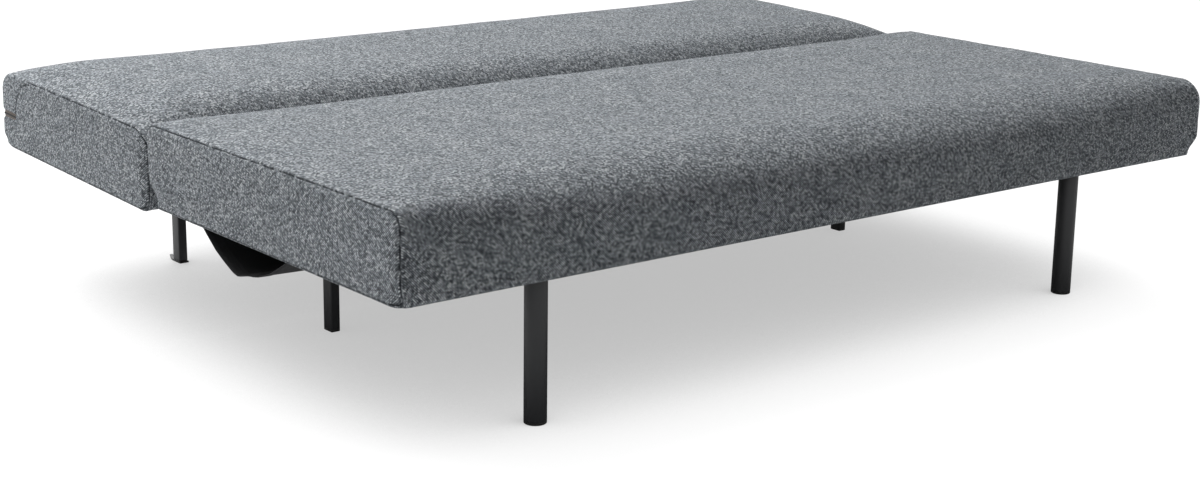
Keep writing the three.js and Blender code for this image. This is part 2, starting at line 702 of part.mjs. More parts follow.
// Fittings: the arm side stays with the seat
for (const [name, side] of sideNames) {
  const fitting = new THREE.Group();
  fitting.position.set(0, pivotPlace.y, pivotPlace.z);
  model.add(fitting);
  const armMesh = add(fitting, `hinge_arm_${name}`, armPlate(), finish.zincSteel);
  armMesh.position.x = (side * (armInner + armOuter)) / 2;
  const pinStart = ratchetInner - fit;
  const pinEnd = armOuter + fit;
  add(fitting, `pivot_pin_${name}`,
    rivet(side, pivot.radius, pivot.headRadius, pivot.headHeight, pinStart, pinEnd), finish.zincSteel);
  const washerMesh = add(fitting, `pivot_washer_${name}`, washerRing(), finish.zincSteel);
  washerMesh.position.x = side * (washerInner + washer.thickness / 2);

  const pawlPlace = new THREE.Vector3((side * (ratchetInner + ratchetOuter)) / 2, pawl.y, pawl.z);
  add(fitting, `pawl_${name}`, pawlPlate(), finish.zincSteel).position.copy(pawlPlace);
  const collar = pawl.radius - pawlSpring.clearance;
  const pawlPin = joined([
    pinAlongX(pawl.pin, side * ratchetInner, side * (outerTubeFace - fittingBay / 2), 0, 0),
    pinAlongX(collar, side * (ratchetOuter + fit), side * (armInner - fit), 0, 0),
  ]);
  add(fitting, `pawl_pin_${name}`, pawlPin, finish.zincSteel).position.set(0, pawl.y, pawl.z);
  const springMesh = add(fitting, `pawl_spring_${name}`, torsionSpring(side), finish.springSteel);
  springMesh.position.set(0, pawl.y, pawl.z);

  boltHeights.forEach((z, i) => {
    const headFace = armInner - fit;
    const nutFace = legX + flatLeg.width / 2 + fit;
    const body = joined([
      pinAlongX(bolt.radius, side * headFace, side * nutFace, 0, 0, facets.hole),
      pinAlongX(bolt.head, side * (headFace - bolt.headHeight), side * headFace, 0, 0, facets.hexagon),
      pinAlongX(bolt.nut, side * nutFace, side * (nutFace + bolt.headHeight), 0, 0, facets.hexagon),
    ]);
    const place = ["upper", "lower"][i];
    add(fitting, `arm_bolt_${name}_${place}`, body, finish.zincSteel).position.set(0, legFromPivot, z);
  });
}

// Back side: everything that folds up
add(backGroup, "back_upholstery",
  cutBy(paddedBlock(backDepth, backRadius, crown.back, zipGroove), [bayTool(backDepth), ...hingeTools()]),
  finish.cover);
add(backGroup, "back_frame", weldedFrame(
  backDepth,
  [0],
  [[-outerTubeFace, -innerTubeFace], [innerTubeFace, outerTubeFace]],
), finish.blackSteel);
springPlaces().forEach((x, i) => {
  add(backGroup, `back_spring_${i + 1}`, zigzagSpring(backDepth, x), finish.springSteel);
});
const bandHoles = sideNames.map(([, side]) => (
  bandBox(side, 0, hingeBand.rear, -overrun, coverTop + overrun)
));
add(backGroup, "back_dust_cover", dustPanel(backDepth, bandHoles), finish.blackCloth);
const zipLength = bedLength - 2 * zip.endInset;
const zipSection = roundedRectangle(zip.thickness, zip.width, zip.corner);
const zipTape = alongX(zipSection, zipLength, 1, padding.stations);
const tapePlace = zipTape.attributes.position;
for (let i = 0; i < tapePlace.count; i += 1) {
  const s = tapePlace.getX(i) / (bedLength / 2 - padding.endRound);
  tapePlace.setY(i, tapePlace.getY(i) - drawnIn(backDepth - zipGroove.depth, backDepth, s));
}
add(backGroup, "back_zip", zipTape, finish.zipTape)
  .position.set(0, backDepth - zipGroove.depth + fit + zip.thickness / 2, zipGroove.height);

for (const [name, side] of sideNames) {
  const ratchetMesh = add(backGroup, `ratchet_${name}`, ratchetPlate(), finish.zincSteel);
  const ratchetX = (side * (ratchetInner + ratchetOuter)) / 2;
  ratchetMesh.position.set(ratchetX, pivot.fromFront, pivot.aboveUnderside);
  const along = backDepth - rearLegInset;
  const plateMiddle = backGroup.localToWorld(new THREE.Vector3(0, along, (plateTop + plateBottom) / 2));
  const leg = flatLegWithPlate(plateMiddle.z, backTilt, rearFoot.thickness, []);
  const x = side * legX;
  add(model, `rear_leg_${name}`, leg, finish.blackSteel).position.set(x, plateMiddle.y, 0);
  add(model, `rear_foot_${name}`, rearFootPiece(), finish.blackPlastic).position.set(x, plateMiddle.y, 0);
}

// The origin: on the floor, under the middle of the sofa
const extent = new THREE.Box3().setFromObject(model, true);
model.position.y = -(extent.min.y + extent.max.y) / 2;

export default model;
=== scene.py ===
# %% [markdown]
# # A click-clack sofa bed, opened flat
# The solids of the part are loaded as a fixed frame, in metres, with Z up. This lesson dresses
# them: foam blocks in blown-up cloth covers, powder-coated legs, a cloth sling and the ratchet
# fittings that let the back fold up. Every shape is a formula worked out with numpy.

# %% Load the frame
import json
import math

import bmesh
import bpy
import numpy as np
from mathutils import Matrix, Vector


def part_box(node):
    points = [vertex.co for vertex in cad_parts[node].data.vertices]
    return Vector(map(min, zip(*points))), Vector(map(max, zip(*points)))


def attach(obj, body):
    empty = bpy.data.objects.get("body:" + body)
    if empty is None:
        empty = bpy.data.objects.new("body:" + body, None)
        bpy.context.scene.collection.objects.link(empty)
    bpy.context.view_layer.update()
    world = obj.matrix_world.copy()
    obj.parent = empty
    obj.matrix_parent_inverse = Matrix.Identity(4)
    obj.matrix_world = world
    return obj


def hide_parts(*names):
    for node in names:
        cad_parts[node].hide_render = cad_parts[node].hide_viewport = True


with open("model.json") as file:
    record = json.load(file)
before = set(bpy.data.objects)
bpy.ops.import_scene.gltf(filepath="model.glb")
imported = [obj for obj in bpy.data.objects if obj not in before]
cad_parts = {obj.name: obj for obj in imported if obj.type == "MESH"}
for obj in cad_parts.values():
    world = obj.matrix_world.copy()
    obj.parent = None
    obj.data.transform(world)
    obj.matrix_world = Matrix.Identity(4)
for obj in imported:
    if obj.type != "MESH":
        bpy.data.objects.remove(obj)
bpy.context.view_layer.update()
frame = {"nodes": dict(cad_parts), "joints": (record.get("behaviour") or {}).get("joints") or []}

# %% [markdown]
# The camera comes first, because every later choice is judged through it. Its place and turn
# were solved from the outline of both blocks and the edges and feet of the legs: it stands to the
# left in front, looks 14.6 degrees down and is rolled by less than a degree.

# %% Camera
YAW, PITCH, ROLL = (math.radians(a) for a in (38.595, 14.607, 0.794))
FOCAL_PX, IMAGE_WIDTH_PX, SENSOR_MM = 2056.5, 1200, 36.0

forward = Vector((math.sin(YAW) * math.cos(PITCH), math.cos(YAW) * math.cos(PITCH), -math.sin(PITCH)))
level = Vector((math.cos(YAW), -math.sin(YAW), 0))
above = level.cross(forward)
right = level * math.cos(ROLL) + above * math.sin(ROLL)
upward = above * math.cos(ROLL) - level * math.sin(ROLL)

camera_data = bpy.data.cameras.new("camera")
camera_data.sensor_width = SENSOR_MM
camera_data.lens = FOCAL_PX / IMAGE_WIDTH_PX * SENSOR_MM
camera_data.clip_end = 60
camera = bpy.data.objects.new("camera", camera_data)
bpy.context.scene.collection.objects.link(camera)
turn = Matrix((right, upward, -forward)).transposed().to_4x4()
camera.matrix_world = Matrix.Translation((-2.6437, -3.2996, 1.1671)) @ turn
bpy.context.scene.camera = camera
print("lens", round(camera_data.lens, 2), "mm")

# %% [markdown]
# A piece here is a grid of points. One helper puts a grid and its faces into a mesh, and turns
# the faces outwards by the sign of the volume that they close.

# %% Mesh helpers
def loop_faces(rings, samples):
    """Quads between neighbouring closed rings: corner (i, k) joins (i, k + 1) and (i + 1, k)."""
    i, k = np.meshgrid(np.arange(rings - 1), np.arange(samples), indexing="ij")
    n = (k + 1) % samples
    quads = [i * samples + k, i * samples + n, (i + 1) * samples + n, (i + 1) * samples + k]
    return np.stack(quads, axis=-1).reshape(-1, 4)


def end_faces(start, samples):
    """Quads that close a ring whose sample k mirrors sample (samples - 1 - k)."""
    k = np.arange(samples // 2 - 1)
    return start + np.stack([k, k + 1, samples - 2 - k, samples - 1 - k], axis=-1)


def closed_faces(rings, samples):
    """All quads of a tube of rings that is closed at both ends."""
    last = (rings - 1) * samples
    return np.concatenate([loop_faces(rings, samples), end_faces(0, samples)[:, ::-1],
                           end_faces(last, samples)])


def volume(points, faces):
    """Signed volume: a sixth of the triple product of each triangle's corners, summed."""
    a = points[faces[:, 0]]
    fans = (np.cross(points[faces[:, n]], points[faces[:, n + 1]]) for n in range(1, faces.shape[1] - 1))
    return sum(np.einsum("ij,ij->", a, fan) for fan in fans) / 6


def outward(points, faces):
    """The faces of a closed shell, turned over where they close a negative volume."""
    return faces[:, ::-1] if volume(points, faces) < 0 else faces


def run_length(points):
    """Length along a path (n, k) from its first point to each point."""
    return np.concatenate([[0], np.cumsum(np.linalg.norm(np.diff(points, axis=0), axis=1))])


def mesh_piece(name, points, faces, uv=None):
    """Puts points (n, 3) in metres and faces into a new object. faces is one array (m, corners) or
    a list of them; uv (m, corners, 2) gives each face corner its place on the cloth, in metres."""
    groups = faces if isinstance(faces, list) else [faces]
    sizes = np.concatenate([np.full(len(group), group.shape[1]) for group in groups])
    corners = np.concatenate([group.ravel() for group in groups])
    mesh = bpy.data.meshes.new(name)
    mesh.vertices.add(len(points))
    mesh.vertices.foreach_set("co", np.asarray(points, dtype=np.float32).ravel())
    mesh.loops.add(len(corners))
    mesh.loops.foreach_set("vertex_index", corners.astype(np.int32))
    mesh.polygons.add(len(sizes))
    mesh.polygons.foreach_set("loop_start", (np.cumsum(sizes) - sizes).astype(np.int32))
    mesh.polygons.foreach_set("use_smooth", np.full(len(sizes), True))
    if uv is not None:
        layer = mesh.uv_layers.new(name="cloth")
        layer.data.foreach_set("uv", uv.astype(np.float32).ravel())
    mesh.update(calc_edges=True)
    obj = bpy.data.objects.new(name, mesh)
    bpy.context.scene.collection.objects.link(obj)
    return obj


# %% [markdown]
# Materials are built from nodes. The colours are written as sRGB hex values, as on a paint
# chart, and one function turns them to the linear values that the renderer adds up. A pattern's
# scale is written as one over the real size of what it draws, in metres.

# %% Material helpers
def linear(hex_colour):
    """Linear RGBA of an sRGB hex value: ((c + 0.055) / 1.055) ** 2.4 above the dark toe."""
    srgb = [int(hex_colour[i:i + 2], 16) / 255 for i in (1, 3, 5)]
    return [c / 12.92 if c <= 0.04045 else ((c + 0.055) / 1.055) ** 2.4 for c in srgb] + [1]


def set_inputs(tree, node, inputs):
    """Links or sets a node's inputs, which are given by name or number."""
    for key, value in inputs.items():
        if isinstance(value, bpy.types.NodeSocket):
            tree.links.new(value, node.inputs[key])
        else:
            node.inputs[key].default_value = value


def add_node(tree, kind, inputs=None, stops=None, **settings):
    """Adds a node with its settings and inputs. stops are the (position, hex colour) pairs of a
    node that holds a colour ramp."""
    node = tree.nodes.new(kind)
    for key, value in settings.items():
        setattr(node, key, value)
    set_inputs(tree, node, inputs or {})
    if stops:
        for _ in stops[2:]:
            node.color_ramp.elements.new(0.5)
        for element, (place, colour) in zip(node.color_ramp.elements, stops):
            element.position, element.color = place, linear(colour)
    return node


def new_material(name):
    """An empty material with its shader, and the tree to build in."""
    material = bpy.data.materials.new(name)
    material.use_nodes = True
    return material, material.node_tree, material.node_tree.nodes["Principled BSDF"]


def paint(obj, material):
    """Puts a material on an object in place of any that it has."""
    obj.data.materials.clear()
    obj.data.materials.append(material)


# %% [markdown]
# The cover is a wool-blend twill woven from melange yarn: dark, middle and pale blue-grey
# fibres are spun together, so every float of yarn has its own tone, and the floats step
# sideways into diagonal ribs. The eye reads mottled grey from afar and ribs close by. The real
# rib is about 2 mm wide. It is drawn 3.1 mm wide here, so that it shows at the picture's size.
# In a seam the colour is painted dark, as shade in the groove, with a pale stitch here and there.

# %% Cover cloth
RIB, FLOAT_LENGTH = 0.0031, 0.0033

cover_cloth, tree, shader = new_material("melange_twill")
cover_uv = add_node(tree, "ShaderNodeUVMap", uv_map="cloth").outputs["UV"]
on_rib = add_node(tree, "ShaderNodeMapping", {
    "Vector": cover_uv, "Rotation": (0, 0, math.radians(45)), "Scale": (RIB, FLOAT_LENGTH, 1)},
    vector_type="TEXTURE").outputs["Vector"]
wander = add_node(tree, "ShaderNodeTexNoise", {"Vector": cover_uv, "Scale": 1 / 0.02, "Detail": 2})
sway = add_node(tree, "ShaderNodeVectorMath", {0: wander.outputs["Color"], 1: (0.6, 0.6, 0)},
                operation="MULTIPLY").outputs[0]
swayed = add_node(tree, "ShaderNodeVectorMath", {0: on_rib, 1: sway}, operation="ADD").outputs[0]
floats = add_node(tree, "ShaderNodeTexVoronoi", {"Vector": swayed, "Scale": 1, "Randomness": 0.35},
                  voronoi_dimensions="2D")
tone = add_node(tree, "ShaderNodeSeparateColor", {"Color": floats.outputs["Color"]}).outputs["Red"]
yarn = add_node(tree, "ShaderNodeValToRGB", {"Fac": tone}, [
    (0, "#4f5357"), (0.35, "#8a8f93"), (0.7, "#b2b7bb"), (1, "#edf0f2")]).outputs["Color"]
fibre = add_node(tree, "ShaderNodeTexNoise", {"Vector": cover_uv, "Scale": 1 / 0.0013, "Detail": 2})
fibre_tone = add_node(tree, "ShaderNodeValToRGB", {"Fac": fibre.outputs["Fac"]},
                      [(0.3, "#babdc0"), (0.7, "#ffffff")]).outputs["Color"]
spun = add_node(tree, "ShaderNodeMix", {0: 0.5, 6: yarn, 7: fibre_tone},
                data_type="RGBA", blend_type="MULTIPLY").outputs[2]
cloudy = add_node(tree, "ShaderNodeTexNoise", {"Vector": cover_uv, "Scale": 1 / 0.08, "Detail": 3})
cloud_tone = add_node(tree, "ShaderNodeValToRGB", {"Fac": cloudy.outputs["Fac"]},
                      [(0.3, "#e9ebed"), (0.7, "#ffffff")]).outputs["Color"]
mottled = add_node(tree, "ShaderNodeMix", {0: 1.0, 6: spun, 7: cloud_tone},
                   data_type="RGBA", blend_type="MULTIPLY").outputs[2]
across_rib = add_node(tree, "ShaderNodeSeparateXYZ", {"Vector": swayed}).outputs["X"]
rib_angle = add_node(tree, "ShaderNodeMath", {0: across_rib, 1: 2 * math.pi}, operation="MULTIPLY")
rib_wave = add_node(tree, "ShaderNodeMath", {0: rib_angle.outputs[0]}, operation="SINE")
rib_height = add_node(tree, "ShaderNodeMapRange", {"Value": rib_wave.outputs[0], "From Min": -1.0,
                                                   "To Min": 0.0, "To Max": 1.0}).outputs[0]
# Painted shade: the colour is darkened in the valleys between the ribs, where shade falls.
painted_rib_shade = add_node(tree, "ShaderNodeValToRGB", {"Fac": rib_height},
                    [(0, "#66696c"), (0.75, "#ffffff")]).outputs["Color"]
rib_shaded = add_node(tree, "ShaderNodeMix", {0: 1.0, 6: mottled, 7: painted_rib_shade},
                  data_type="RGBA", blend_type="MULTIPLY").outputs[2]
in_groove = add_node(tree, "ShaderNodeAttribute", attribute_name="seam").outputs["Fac"]
gusset_gap = add_node(tree, "ShaderNodeAttribute", attribute_name="gusset").outputs["Fac"]
off_gusset = add_node(tree, "ShaderNodeMath", {0: gusset_gap}, operation="ABSOLUTE").outputs[0]
on_gusset = add_node(tree, "ShaderNodeMapRange", {"Value": off_gusset, "From Min": 1.2, "From Max": 3.0,
                                                  "To Min": 1.0, "To Max": 0.0}).outputs[0]
# Painted shade: along the seam grooves and the gusset's seam the colour goes nearly black in place of the
# shade in them.
seam_shade_mask = add_node(tree, "ShaderNodeMath", {0: in_groove, 1: on_gusset}, operation="MAXIMUM").outputs[0]
stitches = add_node(tree, "ShaderNodeTexVoronoi", {"Vector": cover_uv, "Scale": 1 / 0.006,
                                                  "Randomness": 0.6}, voronoi_dimensions="2D")
stitch = add_node(tree, "ShaderNodeSeparateColor", {"Color": stitches.outputs["Color"]}).outputs["Red"]
# Mostly painted shade, nearly black, with a pale stitch in a few cells.
seam_shade_and_stitch_tone = add_node(tree, "ShaderNodeValToRGB", {"Fac": stitch}, [
    (0, "#15181c"), (0.7, "#24282c"), (0.9, "#6f7478"), (1, "#b0b5b9")]).outputs["Color"]
seam_shaded = add_node(tree, "ShaderNodeMix", {0: seam_shade_mask, 6: rib_shaded, 7: seam_shade_and_stitch_tone},
                  data_type="RGBA").outputs[2]
relief = add_node(tree, "ShaderNodeMath", {0: floats.outputs["Distance"], 1: -0.9, 2: rib_height},
                  operation="MULTIPLY_ADD").outputs[0]
bump = add_node(tree, "ShaderNodeBump", {"Height": relief, "Strength": 1.0, "Distance": 0.0009})
set_inputs(tree, shader, {
    "Base Color": seam_shaded, "Normal": bump.outputs["Normal"], "Roughness": 0.92,
    "Specular IOR Level": 0.2, "Sheen Weight": 0.12, "Sheen Roughness": 0.5,
    "Sheen Tint": linear("#dfe6ee")})

# %% [markdown]
# Both blocks are foam under a sewn cover: a top panel that rolls over the front and rear, and
# an end panel sewn in at each end. Seen as a surface, a block is a closed section carried along
# the length, whose last rings turn a small quarter circle and then run in over the end face.
# The end panels have tight corners. Away from them the foam draws the cover into a bull nose,
# and the top is crowned almost to the end seams, so each ring has a section between the two.

# %% Sections of the blocks
MM = 0.001
HEIGHT, HALF_LENGTH, EDGE = 157.0, 1000.0, 7.0
DRAW_IN, END_BULGE = 2.5, 3.0
SEAM_ANGLE = math.radians(52)
NEAR_EDGE, EDGE_WEIGHT = 65.0, 2.2


def smooth_step(value, low, high):
    """3 t^2 - 2 t^3, where t runs from 0 at low to 1 at high."""
    t = np.clip((value - low) / (high - low), 0, 1)
    return t * t * (3 - 2 * t)


def half_section(depth, front, rear, way):
    """Half a section in mm, from the middle of the front face to the middle of the rear face:
    straight, quarter ellipse, straight, quarter ellipse, straight. front and rear are the width
    and height of an ellipse, and way is 1 over the top."""
    a = np.linspace(0, math.pi / 2, 25)
    middle = HEIGHT / 2
    fronts = np.stack([front[0] * (1 - np.cos(a)), middle + way * (middle - front[1] * (1 - np.sin(a)))], 1)
    rears = np.stack([depth - rear[0] * (1 - np.sin(a)),
                      middle + way * (middle - rear[1] * (1 - np.cos(a)))], 1)
    return np.concatenate([[[0, middle]], fronts, rears, [[depth, middle]]])


def resampled(points, count):
    """count points at even steps of weighted length, half a step in from each end; a piece near
    the front or rear weighs more, so the points lie closer there."""
    middle = (points[1:, 0] + points[:-1, 0]) / 2
    near = np.minimum(middle, points[:, 0].max() - middle)
    step = np.linalg.norm(np.diff(points, axis=0), axis=1) * np.where(near < NEAR_EDGE, EDGE_WEIGHT, 1)
    length = np.concatenate([[0], np.cumsum(step)])
    at = (np.arange(count) + 0.5) / count * length[-1]
    return np.stack([np.interp(at, length, points[:, n]) for n in (0, 1)], axis=1)


# %% [markdown]
# The rings across a block lie closer towards its ends, where the skin turns. A sewn cover is
# gathered at its upright corners, so they are folded in and look rounded from above. The fold can
# fade out above the underside or go all the way up.

# %% Rings and corners
def ring_places(main, edge, end, extra=()):
    """Places of the rings on half a block: x, the share by which a ring shrinks to the middle
    line of the end face, and its travel along the skin. Rings lie closer towards the end, and
    extra ones mark the edges of a recess."""
    flat = HALF_LENGTH - EDGE
    t = np.linspace(0, 1, main)
    level = np.sort(np.concatenate([flat * (0.55 * t + 0.45 * np.sin(math.pi / 2 * t)), extra]))
    main = len(level)
    x = np.concatenate([level, flat + EDGE * np.sin(edge), np.full(len(end), HALF_LENGTH)])
    share0 = EDGE / (HEIGHT / 2)
    share = np.concatenate([np.zeros(main), share0 * (1 - np.cos(edge)), share0 + (1 - share0) * end])
    travel = np.concatenate([level, flat + EDGE * edge,
                             flat + EDGE * math.pi / 2 + (1 - share0) * end * HEIGHT / 2])
    both = [np.concatenate([-v[:0:-1], v]) for v in (x, travel)]
    return both[0], np.concatenate([share[:0:-1], share]), both[1]


def tucked(grid, depth, tucks):
    """The grid with its upright corners rounded in plan, where the cover is folded in. tucks holds a
    radius R and a height for the front and for the rear. Past R from the corner's centre a point
    goes back to R, by a share that falls from 1 at a tenth of that height to 0 at the height."""
    x, y, z = grid[..., 0], grid[..., 1], grid[..., 2]
    new_x, new_y = x, y
    for face, inwards, (radius, height) in ((0.0, 1, tucks[0]), (depth, -1, tucks[1])):
        a = np.maximum(0, radius - (HALF_LENGTH - np.abs(x)))
        b = np.maximum(0, radius - np.abs(y - face))
        back = 1 - 1 / np.maximum(1, np.hypot(a, b) / radius)
        back = back * (1 - smooth_step(z, 0.1 * height, height))
        new_x, new_y = new_x - np.sign(x) * a * back, new_y + inwards * b * back
    return np.stack([new_x, new_y, z], axis=-1)


def skin(depth, crown, tucks, sections, x, share):
    """Points (rings, samples, 3) in mm of a crowned block. Each ring goes from its end's section E
    towards the middle one M as E + (1 - s^6)(M - E), is drawn towards the middle line by share,
    raised by crown (1 - s^along)(1 - u^across) and drawn in at its long sides."""
    left, right, full = sections
    height, along, across = crown
    middle = HEIGHT / 2
    s = np.clip(np.abs(x) / (HALF_LENGTH - EDGE), 0, 1)[:, None]
    end = np.where(x[:, None, None] < 0, left, right)
    ring = end + (1 - s ** 6)[..., None] * (full - end)
    y, z = ring[..., 0], ring[..., 1]
    u = 2 * y / depth - 1
    rise = np.maximum(0, 2 * z / HEIGHT - 1)
    inner = share[:, None]
    ys = y + (np.clip(y, middle, depth - middle) - y) * inner - DRAW_IN * (1 - s ** 4) * u ** 9
    zs = z + (middle - z) * inner + height * (1 - s ** along) * rise * (1 - np.abs(u) ** across)
    bulge = END_BULGE * np.sin(math.pi * np.clip(inner, 0, 1)) * np.sign(x)[:, None]
    xs = x[:, None] + np.where(np.abs(x)[:, None] >= HALF_LENGTH, bulge, 0) + 0 * ys
    return tucked(np.stack([xs, ys, zs], axis=-1), depth, tucks)


def grid_normals(grid):
    """Unit normals of a closed-loop grid: the cross product of its two differences."""
    along = np.gradient(grid, axis=0)
    round_ = np.roll(grid, -1, axis=1) - np.roll(grid, 1, axis=1)
    n = np.cross(along, round_)
    return n / np.maximum(np.linalg.norm(n, axis=-1, keepdims=True), 1e-9)


# %% [markdown]
# A real cover is sewn a little small and the foam swells it. Blender's cloth simulation does the
# same to a coarse copy of the skin: air pressure blows it up, and a smooth cubic carries how far
# it moved outwards to the fine grid. Every block also wanders by less than a millimetre, as foam
# under cloth does, through a few long waves whose phases come from a seeded generator.

# %% Air and ripples
def ripple(grid, seed, size, wavelengths):
    """A sum of waves over the grid's places: sin(k . p + phase), scaled to size in mm."""
    rng = np.random.default_rng(seed)
    total = np.zeros(grid.shape[:2])
    for wavelength in wavelengths:
        direction = rng.normal(size=3)
        direction *= 2 * math.pi / wavelength / np.linalg.norm(direction)
        total += np.sin(grid @ direction + rng.uniform(0, 2 * math.pi))
    return size * total / len(wavelengths)


def catmull_rom(old, new):
    """Matrix of weights that carries values at old places to new ones on a smooth cubic."""
    i = np.clip(np.searchsorted(old, new) - 1, 0, len(old) - 2)
    t = np.clip((new - old[i]) / (old[i + 1] - old[i]), 0, 1)
    parts = [(-1, -t / 2 + t ** 2 - t ** 3 / 2), (0, 1 - 2.5 * t ** 2 + 1.5 * t ** 3),
             (1, t / 2 + 2 * t ** 2 - 1.5 * t ** 3), (2, -t ** 2 / 2 + t ** 3 / 2)]
    weights = np.zeros((len(new), len(old)))
    for shift, part in parts:
        np.add.at(weights, (np.arange(len(new)), np.clip(i + shift, 0, len(old) - 1)), part)
    return weights


def blown_up(name, points, quads, cap, frames=20):
    """How far each point of a closed skin moves when air blows it up, in mm, at most cap."""
    trial = mesh_piece(name, points * MM, quads)
    cloth = trial.modifiers.new("cloth", "CLOTH")
    cloth.settings.quality = 5
    cloth.settings.mass = 0.3
    cloth.settings.tension_stiffness = cloth.settings.compression_stiffness = 15
    cloth.settings.bending_stiffness = 0.5
    cloth.settings.use_pressure = True
    cloth.settings.uniform_pressure_force = 4
    cloth.settings.effector_weights.gravity = 0
    cloth.collision_settings.use_collision = False
    cloth.point_cache.frame_start, cloth.point_cache.frame_end = 1, frames
    for step in range(1, frames + 1):
        bpy.context.scene.frame_set(step)
    shape = trial.evaluated_get(bpy.context.evaluated_depsgraph_get()).data
    moved = np.empty(len(points) * 3, dtype=np.float32)
    shape.vertices.foreach_get("co", moved)
    bpy.data.objects.remove(trial)
    bpy.context.scene.frame_set(1)
    move = moved.reshape(-1, 3) / MM - points
    size = np.linalg.norm(move, axis=1, keepdims=True)
    print(name, "largest move", round(float(size.max()), 1), "mm, capped at", cap)
    return move * (cap * np.tanh(size / cap) / np.maximum(size, 1e-6))


# %% [markdown]
# The seam is a groove between two soft lips. It follows one ring of the grid, so the rings lie
# half a millimetre apart there. The underside has a shallow bay that the dust cover lies in.

# %% Cover a block
FINE = {"samples": 140, "main": 112, "edge_rings": 22, "end_rings": 14}
COARSE = {"samples": 70, "main": 60, "edge_rings": 3, "end_rings": 5}
BAY_END, BAY_WALL, BAY_DEPTH = 950.0, 35.0, 3.2
BAY_RINGS = (BAY_END - 0.6, BAY_END + 0.6)
MOST_SWELL, WANDER = 3.5, 0.7
GROOVE_WIDTH, GROOVE_DEPTH = 1.1, 2.0
LIP_PLACE, LIP_WIDTH, LIP_HEIGHT, PUCKER = 5.0, 3.2, 0.7, 0.35


def block_grid(depth, corners, samples, main, edge_rings, end_rings, extra=()):
    """The three sections of a block at a given fineness, and its rings and their travel."""
    bottom = resampled(half_section(depth, *corners["under"], -1), samples)[::-1]
    sections = [np.concatenate([resampled(half_section(depth, *corners[key], 1), samples), bottom])
                for key in ("left", "right", "middle")]
    edge = np.linspace(0, math.pi / 2, edge_rings + 1)[1:]
    end = np.linspace(0, 0.97, end_rings + 1)[1:]
    x, share, travel = ring_places(main, edge, end, extra)
    return sections, x, share, travel


def girth_share(samples):
    """How far round the block each sample of a ring lies: 0 to 1 over the top, 1 to 2 below."""
    at = (np.arange(samples) + 0.5) / samples
    return np.concatenate([at, 2 - at[::-1]])


def swell(name, depth, corners, crown, tucks, travel):
    """How far the air moves each point of the fine grid: the coarse skin's move without what
    points inwards, carried over along the rings and round them."""
    sections, x, share, coarse_travel = block_grid(depth, corners, **COARSE)
    coarse = skin(depth, crown, tucks, sections, x, share)
    faces = closed_faces(len(x), 2 * COARSE["samples"])
    move = blown_up(name + "_air", coarse.reshape(-1, 3), faces, MOST_SWELL).reshape(coarse.shape)
    out = grid_normals(coarse)
    from_middle = coarse - coarse.mean(axis=(0, 1))
    out = out * np.sign(np.sum(out * from_middle, axis=-1).mean())
    move = move - out * np.minimum(0, np.sum(move * out, axis=-1, keepdims=True))
    rows = catmull_rom(coarse_travel, travel)
    columns = catmull_rom(girth_share(COARSE["samples"]), girth_share(FINE["samples"]))
    return np.einsum("ia,abc,kb->ikc", rows, move, columns)


def cover_block(name, depth, corners, crown, tucks, shape_more=None, seam_mask=None,
                rings=BAY_RINGS, seed=1):
    """A block's cover as a grid in mm: its skin, blown up, with seams, and with a shallow recess in
    the underside, where the dust cover goes."""
    sections, x, share, travel = block_grid(depth, corners, **FINE, extra=rings)
    section = sections[0]
    grid = skin(depth, crown, tucks, sections, x, share)
    grid = grid + swell(name, depth, corners, crown, tucks, travel)
    underside = (section[:, 1] < 1)[None, :] & (np.abs(x) <= HALF_LENGTH - EDGE)[:, None]
    grid[..., 2] = np.where(underside, np.clip(grid[..., 2], 0, None), grid[..., 2])
    normals = grid_normals(grid)
    calm = smooth_step(section[:, 1], 5, 40)[None, :]
    grid = grid + normals * (ripple(grid, seed, WANDER, (160, 210, 300, 90, 120)) * calm)[..., None]
    from_seam = np.abs(travel) - (HALF_LENGTH - EDGE + EDGE * SEAM_ANGLE)
    sewn = np.ones(grid.shape[:2]) if seam_mask is None else seam_mask(grid)
    groove = np.exp(-(from_seam / GROOVE_WIDTH) ** 2)[:, None] * sewn
    lips = np.exp(-((np.abs(from_seam) - LIP_PLACE) / LIP_WIDTH) ** 2)[:, None] * sewn
    pucker = lips * ripple(grid, seed + 7, PUCKER, (17, 23, 31))
    grid = grid + normals * (LIP_HEIGHT * lips - GROOVE_DEPTH * groove + pucker)[..., None]
    y = section[:, 0]
    in_bay = smooth_step(y, BAY_WALL - 5, BAY_WALL) * smooth_step(depth - y, BAY_WALL - 5, BAY_WALL)
    in_bay = in_bay * (section[:, 1] < 1) * (np.abs(x) < BAY_END)[:, None]
    grid[..., 2] += BAY_DEPTH * in_bay
    if shape_more is not None:
        grid = shape_more(grid, normals, section, x)
    return section, grid, travel, from_seam, groove


# %% [markdown]
# The cloth's pattern has to follow the panels, so every face gets its place on the cloth: length
# and girth on the long panel, and plain height and depth on the end panels. The seams are passed
# to the material as attributes of the points.

# %% Cloth on a block
AWAY_FROM_GUSSET = 99.0


